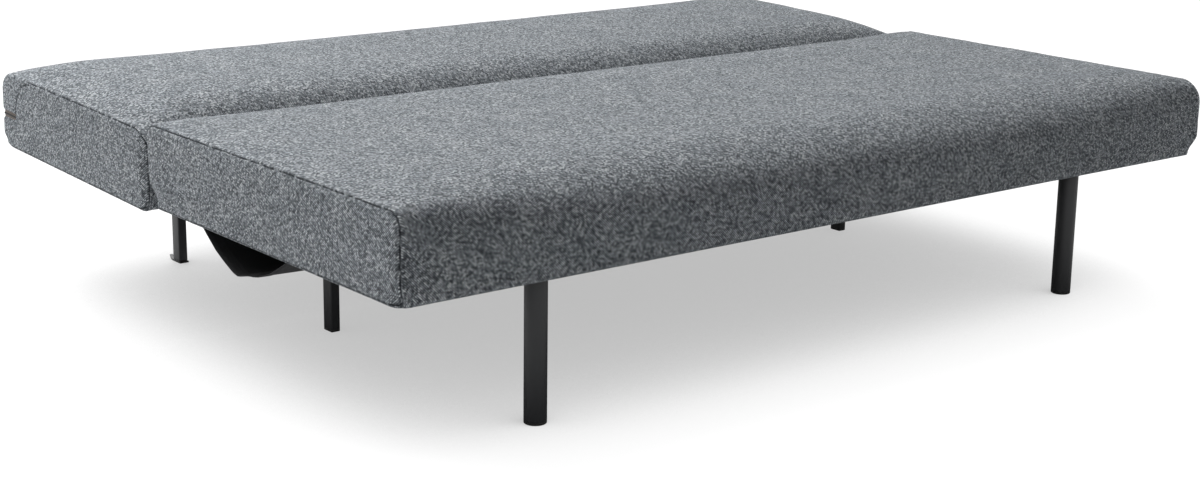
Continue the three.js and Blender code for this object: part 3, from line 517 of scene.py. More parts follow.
def cloth_uv(grid, travel, from_seam, section):
    """UV of every quad of a block: length and girth on the long panel, y and z on the ends."""
    rings, samples = grid.shape[:2]
    half = samples // 2
    steps = np.linalg.norm(np.diff(section, axis=0), axis=1)
    over = run_length(section)
    under = over[-1] - over + steps[-1]
    girth = np.where(np.arange(samples) < half, over, -under)
    following = np.roll(girth, -1)
    following[half - 1] = girth[half - 1] + 2
    following[-1] = 0.0
    corner = np.array([(0, 0), (0, 1), (1, 1), (1, 0)])
    i, k = np.meshgrid(np.arange(rings - 1), np.arange(samples), indexing="ij")
    i, k = i.reshape(-1, 1) + corner[:, 0], k.reshape(-1, 1)
    v = np.where(corner[:, 1] == 0, girth[k], following[k])
    wrapped = np.stack([travel[i], v], axis=-1)
    n = (k + corner[:, 1]) % samples
    ends = grid[i, n][..., 1:]
    is_end = (from_seam[i].mean(axis=1) > 0)[:, None, None]
    walls = np.where(is_end, ends, wrapped)
    flat = grid.reshape(-1, 3)
    caps = [flat[quads][..., 1:] for quads in (end_faces(0, samples)[:, ::-1],
                                              end_faces((rings - 1) * samples, samples))]
    return np.concatenate([walls, *caps]) * MM


def finish_block(name, made, place, gusset=None):
    """Puts a covered block where its frame carries it, and marks its seams for the material."""
    section, grid, travel, from_seam, groove = made
    uv = cloth_uv(grid, travel, from_seam, section)
    points = place(grid.reshape(-1, 3) * MM)
    faces = closed_faces(*grid.shape[:2])
    if volume(points, faces) < 0:
        faces, uv = faces[:, ::-1], uv[:, ::-1]
    obj = mesh_piece(name, points, faces, uv)
    gusset = np.full(groove.shape, AWAY_FROM_GUSSET) if gusset is None else gusset
    for label, values in (("seam", np.clip(groove * 1.5, 0, 1)), ("gusset", gusset)):
        layer = obj.data.attributes.new(label, "FLOAT", "POINT")
        layer.data.foreach_set("value", values.astype(np.float32).ravel())
    paint(obj, cover_cloth)
    print(name, len(obj.data.polygons), "quads")
    return obj


# %% [markdown]
# The seat block sits level. The back block sits behind it, tilted up by 1.65 degrees about its
# lower front edge, as the bed shows it. The record's joint gives the pivot that it folds on.
# A section's corners are the width and height of its front and rear ellipse. A crown is a height
# and the powers that flatten it along and across. A tuck is a radius and the height at which it
# ends, for the front and the rear, and 2000 keeps the back's nose rounded to the top.

# %% Seat and back blocks
SEAT_DEPTH, BACK_DEPTH = 845.0, 655.0
SEAT_CORNERS = {"left": ((25, 25), (26, 26)), "right": ((50, 46), (20, 20)),
                "middle": ((165, 76), (96, 22)), "under": ((13, 13), (20, 20))}
BACK_CORNERS = {"left": ((52, 44), (46, 38)), "right": ((52, 44), (42, 34)),
                "middle": ((105, 62), (270, 57)), "under": ((25, 25), (44, 26))}
SEAT_CROWN, BACK_CROWN = (11.5, 29, 14), (42.5, 18, 5)
SEAT_TUCKS, BACK_TUCKS = ((48, 45), (48, 60)), ((36, 2000), (28, 30))
seat_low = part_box("seat_upholstery")[0]
SEAT_ORIGIN = np.array([0, seat_low.y, seat_low.z])
TILT = math.radians(1.65)
TILT_TURN = np.array([[1, 0, 0], [0, math.cos(TILT), -math.sin(TILT)], [0, math.sin(TILT), math.cos(TILT)]])
pivot = np.array(next(j for j in frame["joints"] if j["name"] == "back_fold")["pos_m"])
PIVOT_IN_BACK = np.array([0, 0.120, 0.092])
BACK_ORIGIN = pivot - TILT_TURN @ PIVOT_IN_BACK


def on_seat(points):
    """Points in metres of the seat block, put where the frame has it."""
    return points + SEAT_ORIGIN


def on_back(points):
    """Points in metres of the back block, tilted and put where the frame has it."""
    return points @ TILT_TURN.T + BACK_ORIGIN


# %% [markdown]
# The back has three details of its own. A channel for the zip runs round its rear, a round gusset
# is let into each end panel, and two slots let the hinge arms swing inside its nose.

# %% Details of the back
ZIP_HEIGHT, GUSSET_CENTRE, GUSSET_RADIUS = 68.0, (512.0, 72.0), 78.0
CHANNEL_DEPTH, CHANNEL_HALF, CHANNEL_START = 5.0, 8.5, (585, 600)


def back_seams(grid):
    """The end seam stops where the gusset begins, about 530 mm from the front, and runs on
    below."""
    y, z = grid[..., 1], grid[..., 2]
    return 1 - smooth_step(y, 522, 536) * smooth_step(z, 5, 30)


POCKET_X, POCKET_OUTER, POCKET_INNER = (650.8, 699.0), 167.0, (35.2, 101.5, 128.0)
POCKET_RINGS = tuple(x + side for x in POCKET_X for side in (-0.3, 0.3))


def hinge_pockets(grid, section, x):
    """Two slots in the nose and underside, where the hinge arms swing. Inside a slot the skin
    leaves its outer path and follows the slot's walls, share for share of the two lengths."""
    y, z = section[:, 0], section[:, 1]
    deep, nose, roof = POCKET_INNER
    outer = np.nonzero((z < nose) & (y < POCKET_OUTER))[0]
    path = np.array([(0, nose), (deep, nose), (deep, roof), (POCKET_OUTER, roof), (POCKET_OUTER, 0.0)])
    length = run_length(path)
    upper = outer < len(section) // 2
    order = np.concatenate([outer[upper][::-1], outer[~upper][::-1]])
    outline = section[order]
    along = run_length(outline)
    share = along / along[-1] * length[-1]
    walls = np.stack([np.interp(share, length, path[:, n]) for n in (0, 1)], axis=1)
    inside = (np.abs(x) > POCKET_X[0]) & (np.abs(x) < POCKET_X[1])
    for ring in np.nonzero(inside)[0]:
        grid[ring, order, 1:] = walls
    return grid


def gusset_distance(grid):
    """Distance in mm from each point to the arc that the gusset's seam follows on an end panel,
    and a large value everywhere else."""
    y, z = grid[..., 1] - GUSSET_CENTRE[0], grid[..., 2] - GUSSET_CENTRE[1]
    on_end = (np.abs(grid[..., 0]) > HALF_LENGTH - 3) & (y > 0) & (z > 0)
    return np.where(on_end, np.hypot(y, z) - GUSSET_RADIUS, AWAY_FROM_GUSSET)


def back_details(grid, normals, section, x):
    """A channel round the rear at the height of the zip, a dip along the gusset's arc, and the
    slots of the hinge."""
    y, z = grid[..., 1], grid[..., 2]
    channel = np.exp(-((z - ZIP_HEIGHT) / CHANNEL_HALF) ** 4) * smooth_step(y, *CHANNEL_START)
    dip = np.exp(-(gusset_distance(grid) / 5) ** 2)
    grid = grid - normals * (CHANNEL_DEPTH * channel + 1.2 * dip)[..., None]
    return hinge_pockets(grid, section, x)


# %% [markdown]
# Both covers now come from the same functions. Each stands for its block's solid in the frame,
# which foam and wadding fill.

# %% Both covers
seat_made = cover_block("seat_cushion", SEAT_DEPTH, SEAT_CORNERS, SEAT_CROWN, SEAT_TUCKS, seed=3)
seat_cushion = finish_block("seat_cushion", seat_made, on_seat)
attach(seat_cushion, "root")
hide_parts("seat_upholstery")

back_made = cover_block("back_cushion", BACK_DEPTH, BACK_CORNERS, BACK_CROWN, BACK_TUCKS, back_details,
                        back_seams, BAY_RINGS + POCKET_RINGS, seed=5)
back_cushion = finish_block("back_cushion", back_made, on_back, gusset_distance(back_made[1]))
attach(back_cushion, "back")
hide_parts("back_upholstery")

# %% [markdown]
# Every other part is a few closed shells put into one mesh. A shell here is a pair of arrays: its
# points, in millimetres, and its faces. Turned parts, wires and lofts are all rings of points
# carried along a path, so the same few functions make all of them.

# %% Shells
def circle(count):
    """Unit circle (count, 2) at angles 2 pi (k + 1/2) / count, so that sample k has a mirror twin."""
    a = 2 * math.pi * (np.arange(count) + 0.5) / count
    return np.stack([np.cos(a), np.sin(a)], axis=1)


def rounded_rectangle(width, depth, radius, steps=5):
    """Loop (4 steps, 2) of a centred rectangle: four quarter circles at its corners."""
    a = (np.arange(4 * steps) // steps + (np.arange(4 * steps) % steps) / (steps - 1)) * math.pi / 2
    quarter = np.arange(4 * steps) // steps
    sx, sy = np.where((quarter == 0) | (quarter == 3), 1, -1), np.where(quarter < 2, 1, -1)
    return np.stack([sx * (width / 2 - radius) + radius * np.cos(a),
                     sy * (depth / 2 - radius) + radius * np.sin(a)], axis=1)


def loft(rings):
    """Shell through loops (rings, samples, 3); strips across the first and last one close it."""
    rings = np.asarray(rings, dtype=float)
    return rings.reshape(-1, 3), closed_faces(*rings.shape[:2])


def turned(profile, count=48):
    """Shell of a profile of (radius, height) pairs turned round Z: (r cos a, r sin a, h)."""
    radius, height = np.array(profile, dtype=float).T
    flat = radius[:, None, None] * circle(count)
    level = np.broadcast_to(height[:, None, None], flat[..., :1].shape)
    return loft(np.concatenate([flat, level], axis=-1))


def prism(sections, heights):
    """Shell through flat loops (samples, 2), one at each height."""
    rings = [np.column_stack([section, np.full(len(section), height)])
             for section, height in zip(sections, heights)]
    return loft(rings)


def wire(path, radius, count=10, ring=False):
    """Shell of a round wire: circles across a path (n, 3), turned by the path's own direction
    crossed with the axis that it leans on least. ring joins the last circle to the first."""
    path = np.asarray(path, dtype=float)
    ahead, behind = np.roll(path, -1, axis=0), np.roll(path, 1, axis=0)
    if not ring:
        ahead[-1], behind[0] = path[-1], path[0]
    way = ahead - behind
    way /= np.linalg.norm(way, axis=1, keepdims=True)
    side = np.cross(way, np.eye(3)[np.argmin(np.abs(way).max(axis=0))])
    side /= np.linalg.norm(side, axis=1, keepdims=True)
    spokes = radius * circle(count)
    rings = path[:, None] + spokes[:, :1] * side[:, None] + spokes[:, 1:] * np.cross(side, way)[:, None]
    if not ring:
        return loft(rings)
    return rings.reshape(-1, 3), loop_faces(len(path) + 1, count) % (len(path) * count)


# %% [markdown]
# Flat pressed plates start as a Blender curve instead, because its fill handles the holes and its
# bevel rounds the rims, as a press and a tumbling barrel do.

# %% Pressed plates
def pressed_plate(loops, thickness, rim=0.5):
    """Shell of a flat plate in the plane of Y and Z with rounded rims: the outline comes first in
    loops and its holes after it, and the plate is thick along X."""
    curve = bpy.data.curves.new("outline", "CURVE")
    curve.dimensions, curve.fill_mode = "2D", "BOTH"
    curve.extrude, curve.bevel_depth, curve.offset = thickness / 2 - rim, rim, -rim
    curve.bevel_resolution = 1
    for loop in loops:
        spline = curve.splines.new("POLY")
        spline.points.add(len(loop) - 1)
        spline.points.foreach_set("co", np.column_stack([loop, np.tile((0, 1), (len(loop), 1))]).ravel())
        spline.use_cyclic_u = True
    trial = bpy.data.objects.new("outline", curve)
    bpy.context.scene.collection.objects.link(trial)
    shape = bmesh.new()
    shape.from_mesh(trial.evaluated_get(bpy.context.evaluated_depsgraph_get()).to_mesh())
    bmesh.ops.remove_doubles(shape, verts=shape.verts, dist=0.005)
    bmesh.ops.triangulate(shape, faces=shape.faces)
    bmesh.ops.recalc_face_normals(shape, faces=shape.faces)
    points = np.array([v.co for v in shape.verts])[:, [2, 0, 1]]
    faces = np.array([[v.index for v in face.verts] for face in shape.faces])
    shape.free()
    bpy.data.objects.remove(trial)
    return points, faces


# %% [markdown]
# Each shell is made round an axis that suits it, then laid down, moved to its place and joined
# with the others of its piece.

# %% Placing and joining
CRISP = math.radians(32)


def lying(shell):
    """A shell made in the plane of Y and Z, laid into the plane of X and Y."""
    return shell[0][:, [1, 2, 0]], shell[1]


def along_x(shell):
    """A shell made round the Z axis, laid along X."""
    return shell[0][:, [2, 0, 1]], shell[1]


def moved(shell, x=0.0, y=0.0, z=0.0, tilt=0.0):
    """A shell turned about X by tilt and then moved."""
    c, s = math.cos(tilt), math.sin(tilt)
    return shell[0] @ np.array([[1, 0, 0], [0, c, s], [0, -s, c]]) + (x, y, z), shell[1]


def placed(shells, place):
    """Shells of a block, carried from the block's own frame into the sofa's by place."""
    return [(place(points * MM) / MM, faces) for points, faces in shells]


def assembled(name, shells, material, slot, body, *nodes, **to):
    """Puts shells into one piece in metres, moved to x, y, z and a tilt, with edges kept crisp where
    faces turn by more than 32 degrees, and hides the nodes of the frame that it stands for."""
    shells = [moved(shell, **to) for shell in shells]
    starts = np.cumsum([0] + [len(points) for points, _ in shells])
    faces = [outward(points, faces) + start for (points, faces), start in zip(shells, starts)]
    obj = mesh_piece(name, np.concatenate([points for points, _ in shells]) * MM, faces)
    obj.data.set_sharp_from_angle(angle=CRISP)
    paint(obj, material)
    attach(obj, body)
    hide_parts(*nodes)
    print(name, len(obj.data.polygons), "faces")
    return obj


# %% [markdown]
# The legs and frames are steel tube, sanded and powder coated: polyester powder is sprayed on and
# baked, and it flows out to a satin black skin with a very fine orange peel. The eye sees a soft
# upright streak of light on a round leg and hardly any colour.

# %% Powder-coated steel
powder_coat, tree, shader = new_material("powder_coated_steel")
place = add_node(tree, "ShaderNodeTexCoord").outputs["Object"]
drift = add_node(tree, "ShaderNodeTexNoise", {"Vector": place, "Scale": 1 / 0.06, "Detail": 2})
black = add_node(tree, "ShaderNodeValToRGB", {"Fac": drift.outputs["Fac"]},
                 [(0.3, "#1b1c1e"), (0.7, "#222326")])
peel = add_node(tree, "ShaderNodeTexNoise", {"Vector": place, "Scale": 1 / 0.0012, "Detail": 1})
bump = add_node(tree, "ShaderNodeBump", {
    "Height": peel.outputs["Fac"], "Strength": 0.25, "Distance": 0.0003})
gloss = add_node(tree, "ShaderNodeMapRange", {
    "Value": drift.outputs["Fac"], "To Min": 0.42, "To Max": 0.52})
set_inputs(tree, shader, {"Base Color": black.outputs["Color"], "Normal": bump.outputs["Normal"],
                          "Roughness": gloss.outputs[0]})

# %% [markdown]
# The hinge plates, pins and bolts are steel, pressed or turned and then zinc plated in a barrel.
# The zinc is a metal, pale and slightly blue, with faint yellow clouds from its clear passivation
# and fine scuffs from tumbling.

# %% Zinc-plated steel
zinc_plate, tree, shader = new_material("zinc_plated_steel")
place = add_node(tree, "ShaderNodeTexCoord").outputs["Object"]
cloud = add_node(tree, "ShaderNodeTexNoise", {"Vector": place, "Scale": 1 / 0.018, "Detail": 3})
tint = add_node(tree, "ShaderNodeValToRGB", {"Fac": cloud.outputs["Fac"]},
                [(0.3, "#b3b7bb"), (0.55, "#c2c4c4"), (0.75, "#c4bfa9")])
scuff = add_node(tree, "ShaderNodeTexNoise", {"Vector": place, "Scale": 1 / 0.0016, "Detail": 4})
gloss = add_node(tree, "ShaderNodeMapRange", {
    "Value": scuff.outputs["Fac"], "From Min": 0.3, "From Max": 0.7, "To Min": 0.3, "To Max": 0.48})
bump = add_node(tree, "ShaderNodeBump", {
    "Height": scuff.outputs["Fac"], "Strength": 0.2, "Distance": 0.0002})
set_inputs(tree, shader, {"Base Color": tint.outputs["Color"], "Normal": bump.outputs["Normal"],
                          "Roughness": gloss.outputs[0], "Metallic": 1.0})

# %% [markdown]
# The springs are drawn high-carbon wire with no plating: grey, a little brown from heat, and
# streaked along the draw.

# %% Spring steel
spring_wire, tree, shader = new_material("drawn_spring_wire")
place = add_node(tree, "ShaderNodeTexCoord").outputs["Object"]
streak = add_node(tree, "ShaderNodeTexNoise", {"Vector": place, "Scale": 1 / 0.004, "Detail": 3})
grey = add_node(tree, "ShaderNodeValToRGB", {"Fac": streak.outputs["Fac"]},
                [(0.3, "#55524e"), (0.7, "#7c7b79")])
gloss = add_node(tree, "ShaderNodeMapRange", {
    "Value": streak.outputs["Fac"], "To Min": 0.3, "To Max": 0.55})
set_inputs(tree, shader, {"Base Color": grey.outputs["Color"], "Roughness": gloss.outputs[0],
                          "Metallic": 1.0})

# %% [markdown]
# Glides, caps and feet are moulded in black polyethylene. The mould was spark eroded, which leaves
# a fine even grain that scatters the light. Rubbing on the floor has polished it a little.

# %% Moulded plastic
moulded_plastic, tree, shader = new_material("moulded_polyethylene")
place = add_node(tree, "ShaderNodeTexCoord").outputs["Object"]
grain = add_node(tree, "ShaderNodeTexNoise", {"Vector": place, "Scale": 1 / 0.0009, "Detail": 2})
tone = add_node(tree, "ShaderNodeValToRGB", {"Fac": grain.outputs["Fac"]},
                [(0.35, "#191919"), (0.65, "#242423")])
bump = add_node(tree, "ShaderNodeBump", {
    "Height": grain.outputs["Fac"], "Strength": 0.35, "Distance": 0.0002})
set_inputs(tree, shader, {"Base Color": tone.outputs["Color"], "Normal": bump.outputs["Normal"],
                          "Roughness": 0.58})

# %% [markdown]
# Two black cloths hang or stretch under the blocks. The dust covers are spunbonded polypropylene,
# pressed at small points 3 mm apart, so they look like felt with a grid of dots. The sling is a
# plain weave of polyester. Its threads are 0.5 mm wide and are drawn 1.5 mm wide, so that the
# weave shows.

# %% Black cloths
def black_cloth(name, height_of):
    """A black cloth whose relief comes from height_of(tree, uv), a socket between 0 and 1."""
    material, tree, shader = new_material(name)
    uv = add_node(tree, "ShaderNodeUVMap", uv_map="cloth").outputs["UV"]
    height = height_of(tree, uv)
    fuzz = add_node(tree, "ShaderNodeTexNoise", {"Vector": uv, "Scale": 1 / 0.004, "Detail": 5})
    mixed = add_node(tree, "ShaderNodeMath", {0: fuzz.outputs["Fac"], 1: 0.6, 2: height},
                     operation="MULTIPLY_ADD")
    tone = add_node(tree, "ShaderNodeValToRGB", {"Fac": mixed.outputs[0]},
                    [(0.2, "#131314"), (1.0, "#2b2b2d")])
    bump = add_node(tree, "ShaderNodeBump", {"Height": mixed.outputs[0], "Strength": 0.5,
                                             "Distance": 0.0004})
    set_inputs(tree, shader, {
        "Base Color": tone.outputs["Color"], "Normal": bump.outputs["Normal"], "Roughness": 0.85,
        "Specular IOR Level": 0.25, "Sheen Weight": 0.05})
    return material


def bond_points(tree, uv):
    """Dots on a 3 mm grid: how far a place is from the nearest cell's centre."""
    dots = add_node(tree, "ShaderNodeTexVoronoi", {"Vector": uv, "Scale": 1 / 0.003, "Randomness": 0.0},
                    voronoi_dimensions="2D")
    return dots.outputs["Distance"]


def plain_weave(tree, uv):
    """Over and under: the product of two sine waves, one along each set of threads."""
    spun = add_node(tree, "ShaderNodeVectorMath", {0: uv, "Scale": math.pi / 0.0015}, operation="SCALE")
    axes = add_node(tree, "ShaderNodeSeparateXYZ", {"Vector": spun.outputs[0]})
    waves = [add_node(tree, "ShaderNodeMath", {0: axes.outputs[n]}, operation="SINE") for n in (0, 1)]
    product = add_node(tree, "ShaderNodeMath", {0: waves[0].outputs[0], 1: waves[1].outputs[0]},
                       operation="MULTIPLY")
    return add_node(tree, "ShaderNodeMapRange", {"Value": product.outputs[0], "From Min": -1.0}).outputs[0]


dust_cloth = black_cloth("spunbonded_polypropylene", bond_points)
sling_cloth = black_cloth("woven_black_polyester", plain_weave)

# %% [markdown]
# The frames and zig-zag springs are inside the blocks. They keep the solids of the frame, with
# their own finishes on them.

# %% Frames and springs
for node_name, node in frame["nodes"].items():
    if node_name.endswith("_frame"):
        paint(node, powder_coat)
    elif "_spring_" in node_name and not node_name.startswith("pawl"):
        paint(node, spring_wire)

# %% [markdown]
# A front leg is a 40 mm round tube. Its top is welded to a plate that four screws hold under the
# seat's frame, and a moulded glide closes its foot. All of these are turned profiles, apart from
# the plate, which has rounded corners and is cut from sheet.

# %% Front legs
def middle_of(node):
    """Middle of a node's box in the frame, in mm."""
    low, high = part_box(node)
    return np.array((low + high) / 2) / MM


LEG_X = abs(middle_of("front_leg_left")[0])
FRONT_Y, MIDDLE_Y, REAR_Y = (middle_of(f"{row}_leg_left")[1] for row in ("front", "middle", "rear"))
PLATE_MIDDLE, PLATE_THICKNESS = middle_of("front_leg_plate_left")[2], 4.0
PLATE_LOW = PLATE_MIDDLE - PLATE_THICKNESS / 2
print("legs at x", round(LEG_X, 1), "y", [round(y, 1) for y in (FRONT_Y, MIDDLE_Y, REAR_Y)])
SIDES = (("left", -1), ("right", 1))


def screw_head(radius, height, count=24):
    """A pan head on the plane z = 0 with a conical dimple for the driver, opening upwards."""
    return turned([(radius, 0), (radius, 0.35 * height), (0.9 * radius, 0.75 * height),
                   (0.62 * radius, height), (0.34 * radius, height), (0.06 * radius, 0.45 * height)], count)


def upside_down(shell):
    """A shell turned half round about X."""
    return shell[0] * (1, -1, -1), shell[1]


def plate_with_screws():
    """The mounting plate in its own middle plane, with a screw head under each corner."""
    plate = lying(pressed_plate([rounded_rectangle(80, 60, 10, 8)], PLATE_THICKNESS, 0.6))
    heads = [moved(upside_down(screw_head(5, 2.4)), x, y, -2) for x in (-30, 30) for y in (-20, 20)]
    return [plate, *heads]


def weld_bead(loop, height, radius, seed):
    """A bead round a tube's end: a ring of wire whose size ripples as the weld pool froze."""
    step = np.linalg.norm(np.roll(loop, -1, axis=0) - loop, axis=1).sum() / 2.2
    at = np.arange(int(step) * 4) / (int(step) * 4) * len(loop)
    closed = np.concatenate([loop, loop[:1]])
    path = np.stack([np.interp(at, np.arange(len(closed)), closed[:, n]) for n in (0, 1)], axis=1)
    points, faces = wire(np.column_stack([path, np.full(len(path), height)]), radius, 8, ring=True)
    rng = np.random.default_rng(seed)
    swell = 1 + 0.16 * np.sin(math.pi / 2 * np.arange(len(path))) + 0.05 * rng.normal(size=len(path))
    middle = np.repeat(np.column_stack([path, np.full(len(path), height)]), 8, axis=0)
    return middle + (points - middle) * np.repeat(swell, 8)[:, None], faces


for side_name, side in SIDES:
    where = {"x": side * LEG_X, "y": FRONT_Y}
    tube = turned([(18.6, 5.3), (19.4, 5.4), (20, 6.1), (20, 262.6), (19.6, 263.6), (18.8, 263.9)], 96)
    assembled(f"front_leg_tube_{side_name}", [tube], powder_coat, "black_steel", "root",
              f"front_leg_{side_name}", **where)
    bead = weld_bead(20.4 * circle(64), PLATE_LOW - 0.6, 1.8, 11 + side)
    plate = [moved(part, z=PLATE_MIDDLE) for part in plate_with_screws()]
    assembled(f"front_plate_{side_name}", [*plate, bead], powder_coat, "black_steel", "root",
              f"front_leg_plate_{side_name}", **where)
    glide = turned([(17.4, 0), (18.8, 0.3), (19.7, 1.1), (20, 2.1), (20, 4.5), (19.6, 5), (18.2, 5),
                    (18.2, 19.2), (17.4, 20)], 96)
    assembled(f"front_glide_{side_name}", [glide], moulded_plastic, "black_plastic", "root",
              f"front_leg_glide_{side_name}", **where)

# %% [markdown]
# The middle and rear legs are flat tube, 20 by 30 mm with 3 mm corners, welded to the same kind of
# plate. A cap closes a middle leg. A rear leg stands on a foot whose toe runs out behind it,
# narrows and lifts, so that it glides over a rug when the back is lowered.

# %% Middle and rear legs
TUBE_WIDTH, TUBE_DEPTH, TUBE_CORNER = 20, 30, 3
FOOT_TIP, FOOT_HEEL = 44.0, 18.0
REAR_PLATE_Z = 264.3


def tube_loop(inset=0.0, steps=5):
    """The flat tube's section, drawn in by inset on every side."""
    return rounded_rectangle(TUBE_WIDTH - 2 * inset, TUBE_DEPTH - 2 * inset, TUBE_CORNER - inset, steps)


def flat_tube(bottom, top):
    """A closed prism of the tube's section, its ends rounded by 0.5 mm."""
    heights = (bottom, bottom + 0.5, top - 0.5, top)
    return prism([tube_loop(inset) for inset in (0.5, 0.0, 0.0, 0.5)], heights)


def leg_plug(bottom):
    """The part of a cap or foot that is pushed into the tube, 14 mm deep."""
    return prism([rounded_rectangle(16.4, 26.4, 1.5)] * 2, (bottom, bottom + 14))


def rear_foot():
    """Loops across the foot from front to tip: bottom 6 t^2, thickness 4 - 3 t, width shrinking to
    a third, where t is the share of the way past the heel."""
    y = np.concatenate([[-18, -17.6, -17], np.linspace(-16, FOOT_TIP - 0.6, 30),
                        [FOOT_TIP - 0.2, FOOT_TIP]])
    t = np.clip((y - FOOT_HEEL) / (FOOT_TIP - FOOT_HEEL), 0, 1)
    past = np.clip((y - 15) / (FOOT_TIP - 15), 0, 1)
    end = np.concatenate([[0.7, 0.25, 0.05], np.zeros(30), [0.25, 0.7]])
    width, thickness = 22 * (1 - 0.7 * past ** 1.4) - 2 * end, 4 - 3 * t - 1.4 * end
    rings = []
    for place, low, w, h in zip(y, 6 * t ** 2 + 0.7 * end, width, thickness):
        loop = rounded_rectangle(w, h, 0.42 * min(w, h))
        rings.append(np.column_stack([loop[:, 0], np.full(len(loop), place), loop[:, 1] + low + h / 2]))
    return loft(rings)


for side_name, side in SIDES:
    where = {"x": side * LEG_X, "y": MIDDLE_Y}
    bead = weld_bead(tube_loop(-0.4, 8), PLATE_LOW - 0.4, 1.6, 21 + side)
    plate = [moved(part, z=PLATE_MIDDLE) for part in plate_with_screws()]
    assembled(f"middle_leg_tube_{side_name}", [flat_tube(4.3, PLATE_LOW + 0.5), bead, *plate],
              powder_coat, "black_steel", "root", f"middle_leg_{side_name}", **where)
    sole = prism([tube_loop(inset) for inset in (1.6, 0.6, 0.1, 0, 0.2)], (0, 0.5, 1.3, 3.6, 4))
    assembled(f"middle_cap_{side_name}", [sole, leg_plug(3)], moulded_plastic, "black_plastic",
              "root", f"middle_leg_cap_{side_name}", **where)

    where = {"x": side * LEG_X, "y": REAR_Y}
    bead = weld_bead(tube_loop(-0.4, 8), -2.4, 1.6, 31 + side)
    parts = [moved(part, z=REAR_PLATE_Z, tilt=TILT) for part in plate_with_screws() + [bead]]
    parts.append(flat_tube(4.3, REAR_PLATE_Z - 1.2))
    assembled(f"rear_leg_tube_{side_name}", parts, powder_coat, "black_steel", "back",
              f"rear_leg_{side_name}", **where)
    assembled(f"rear_foot_shoe_{side_name}", [rear_foot(), leg_plug(3)], moulded_plastic,
              "black_plastic", "back", f"rear_foot_{side_name}", **where)

# %% [markdown]
# The click-clack fitting is what lets the back fold. On each side a fixed arm reaches from the
# middle leg under the gap and up into the nose of the back, and carries the pivot. A toothed plate,
# screwed to the back's frame, turns on the same pin, and a sprung pawl rides along its teeth. All
# the plates are pressed from sheet, so each is an outline of arcs and lines. Places are in
# millimetres from the pivot, Y to the rear and Z up.

# %% Outlines of the fitting
PIVOT = np.asarray(pivot) / MM
PAWL_AT = np.array([-25.0, -43.3])
EYE, NECK, BAR_TOP, BAR_LOW, FILLET, PAD_HALF, PAD_CORNER = 22.0, 20.0, -126.0, -162.0, 26.0, 23.0, 8.0
LEG_Y = MIDDLE_Y - PIVOT[1]
PAD_TOP = PLATE_LOW - 4 - PIVOT[2]
BOLT_Z = (PAD_TOP - 21, BAR_LOW + 21)
RATCHET_R, TOOTH, TIP_ANGLE = 32.0, 4.0, 262.0


def arc(centre, radius, start, stop, count=24):
    """Points (count, 2) at a radius from a centre, from one angle in degrees to another."""
    a = np.radians(np.linspace(start, stop, count))
    return np.asarray(centre) + radius * np.stack([np.cos(a), np.sin(a)], axis=1)


def corner(start, bend, stop, count=8):
    """A rounded corner: the quadratic curve (1-t)^2 start + 2t(1-t) bend + t^2 stop."""
    t = np.linspace(0, 1, count)[:, None]
    return (1 - t) ** 2 * np.array(start) + 2 * t * (1 - t) * np.array(bend) + t ** 2 * np.array(stop)


def arm_outline():
    """The swan neck: eye, pawl boss, neck, bar and the pad that is bolted to the leg."""
    lean = math.degrees(math.asin(NECK / EYE)) - 90
    left, right, c = LEG_Y - PAD_HALF, LEG_Y + PAD_HALF, PAD_CORNER
    return np.concatenate([
        arc((0, 0), EYE, lean, 180 - lean, 40), arc(PAWL_AT, 11, 160, 200, 8),
        corner((-EYE, BAR_TOP + FILLET), (-EYE, BAR_TOP), (-EYE - FILLET, BAR_TOP)),
        corner((right + c, BAR_TOP), (right, BAR_TOP), (right, BAR_TOP + c)),
        corner((right, PAD_TOP - c), (right, PAD_TOP), (right - c, PAD_TOP)),
        corner((left + c, PAD_TOP), (left, PAD_TOP), (left, PAD_TOP - c)),
        corner((left, BAR_LOW + c), (left, BAR_LOW), (left + c, BAR_LOW)),
        corner((NECK - FILLET, BAR_LOW), (NECK, BAR_LOW), (NECK, BAR_LOW + FILLET))])


def ratchet_outline():
    """A disc with six saw teeth 11 degrees apart, and a foot for two screws."""
    first, last = TIP_ANGLE - 77, TIP_ANGLE - 11
    teeth = [arc((0, 0), r, a, a, 1) for n in range(6) for r, a in
             ((RATCHET_R - TOOTH, first + 11 * n), (RATCHET_R, first + 11 * (n + 1)))]
    return np.concatenate([
        corner((12, -84), (12, -87), (15, -87), 4), corner((77, -87), (80, -87), (80, -84), 4),
        corner((80, -66), (80, -62), (76, -62), 5), arc((0, 0), RATCHET_R, -10, first, 60),
        *teeth, arc((0, 0), RATCHET_R, last + 1, 285, 14), [(12, -62)]])


def pawl_outline():
    """A boss on its pin and a finger whose nose points at the teeth."""
    tip = arc((0, 0), RATCHET_R + 0.8, TIP_ANGLE, TIP_ANGLE, 1)[0] - PAWL_AT
    along = math.degrees(math.atan2(tip[1], tip[0]))
    return np.concatenate([arc((0, 0), 8, along + 76, along + 284, 32), [tip - (0, 3), tip - (0, 0.6)],
                           [tip - (0.5, 0.1)]])


def hole(centre, radius, count=24):
    """A full circle of count points, as the outline of a hole."""
    return arc(centre, radius, 0, 360 * (1 - 1 / count), count)


print("bolts at", [round(z, 1) for z in BOLT_Z], "leg at", round(LEG_Y, 1))

# %% [markdown]
# Each layer of the fitting has its own place along X, counted outwards: the ratchet, a washer, the
# arm and the leg. The pins run through them and are riveted over into flat domes. The arm's two
# bolts have hexagon heads inside and nuts outside.

# %% Pins, plates and bolts
RATCHET_X, WASHER_X, ARM_X = (658.4, 663.4), (663.7, 665.4), (665.7, 671.7)


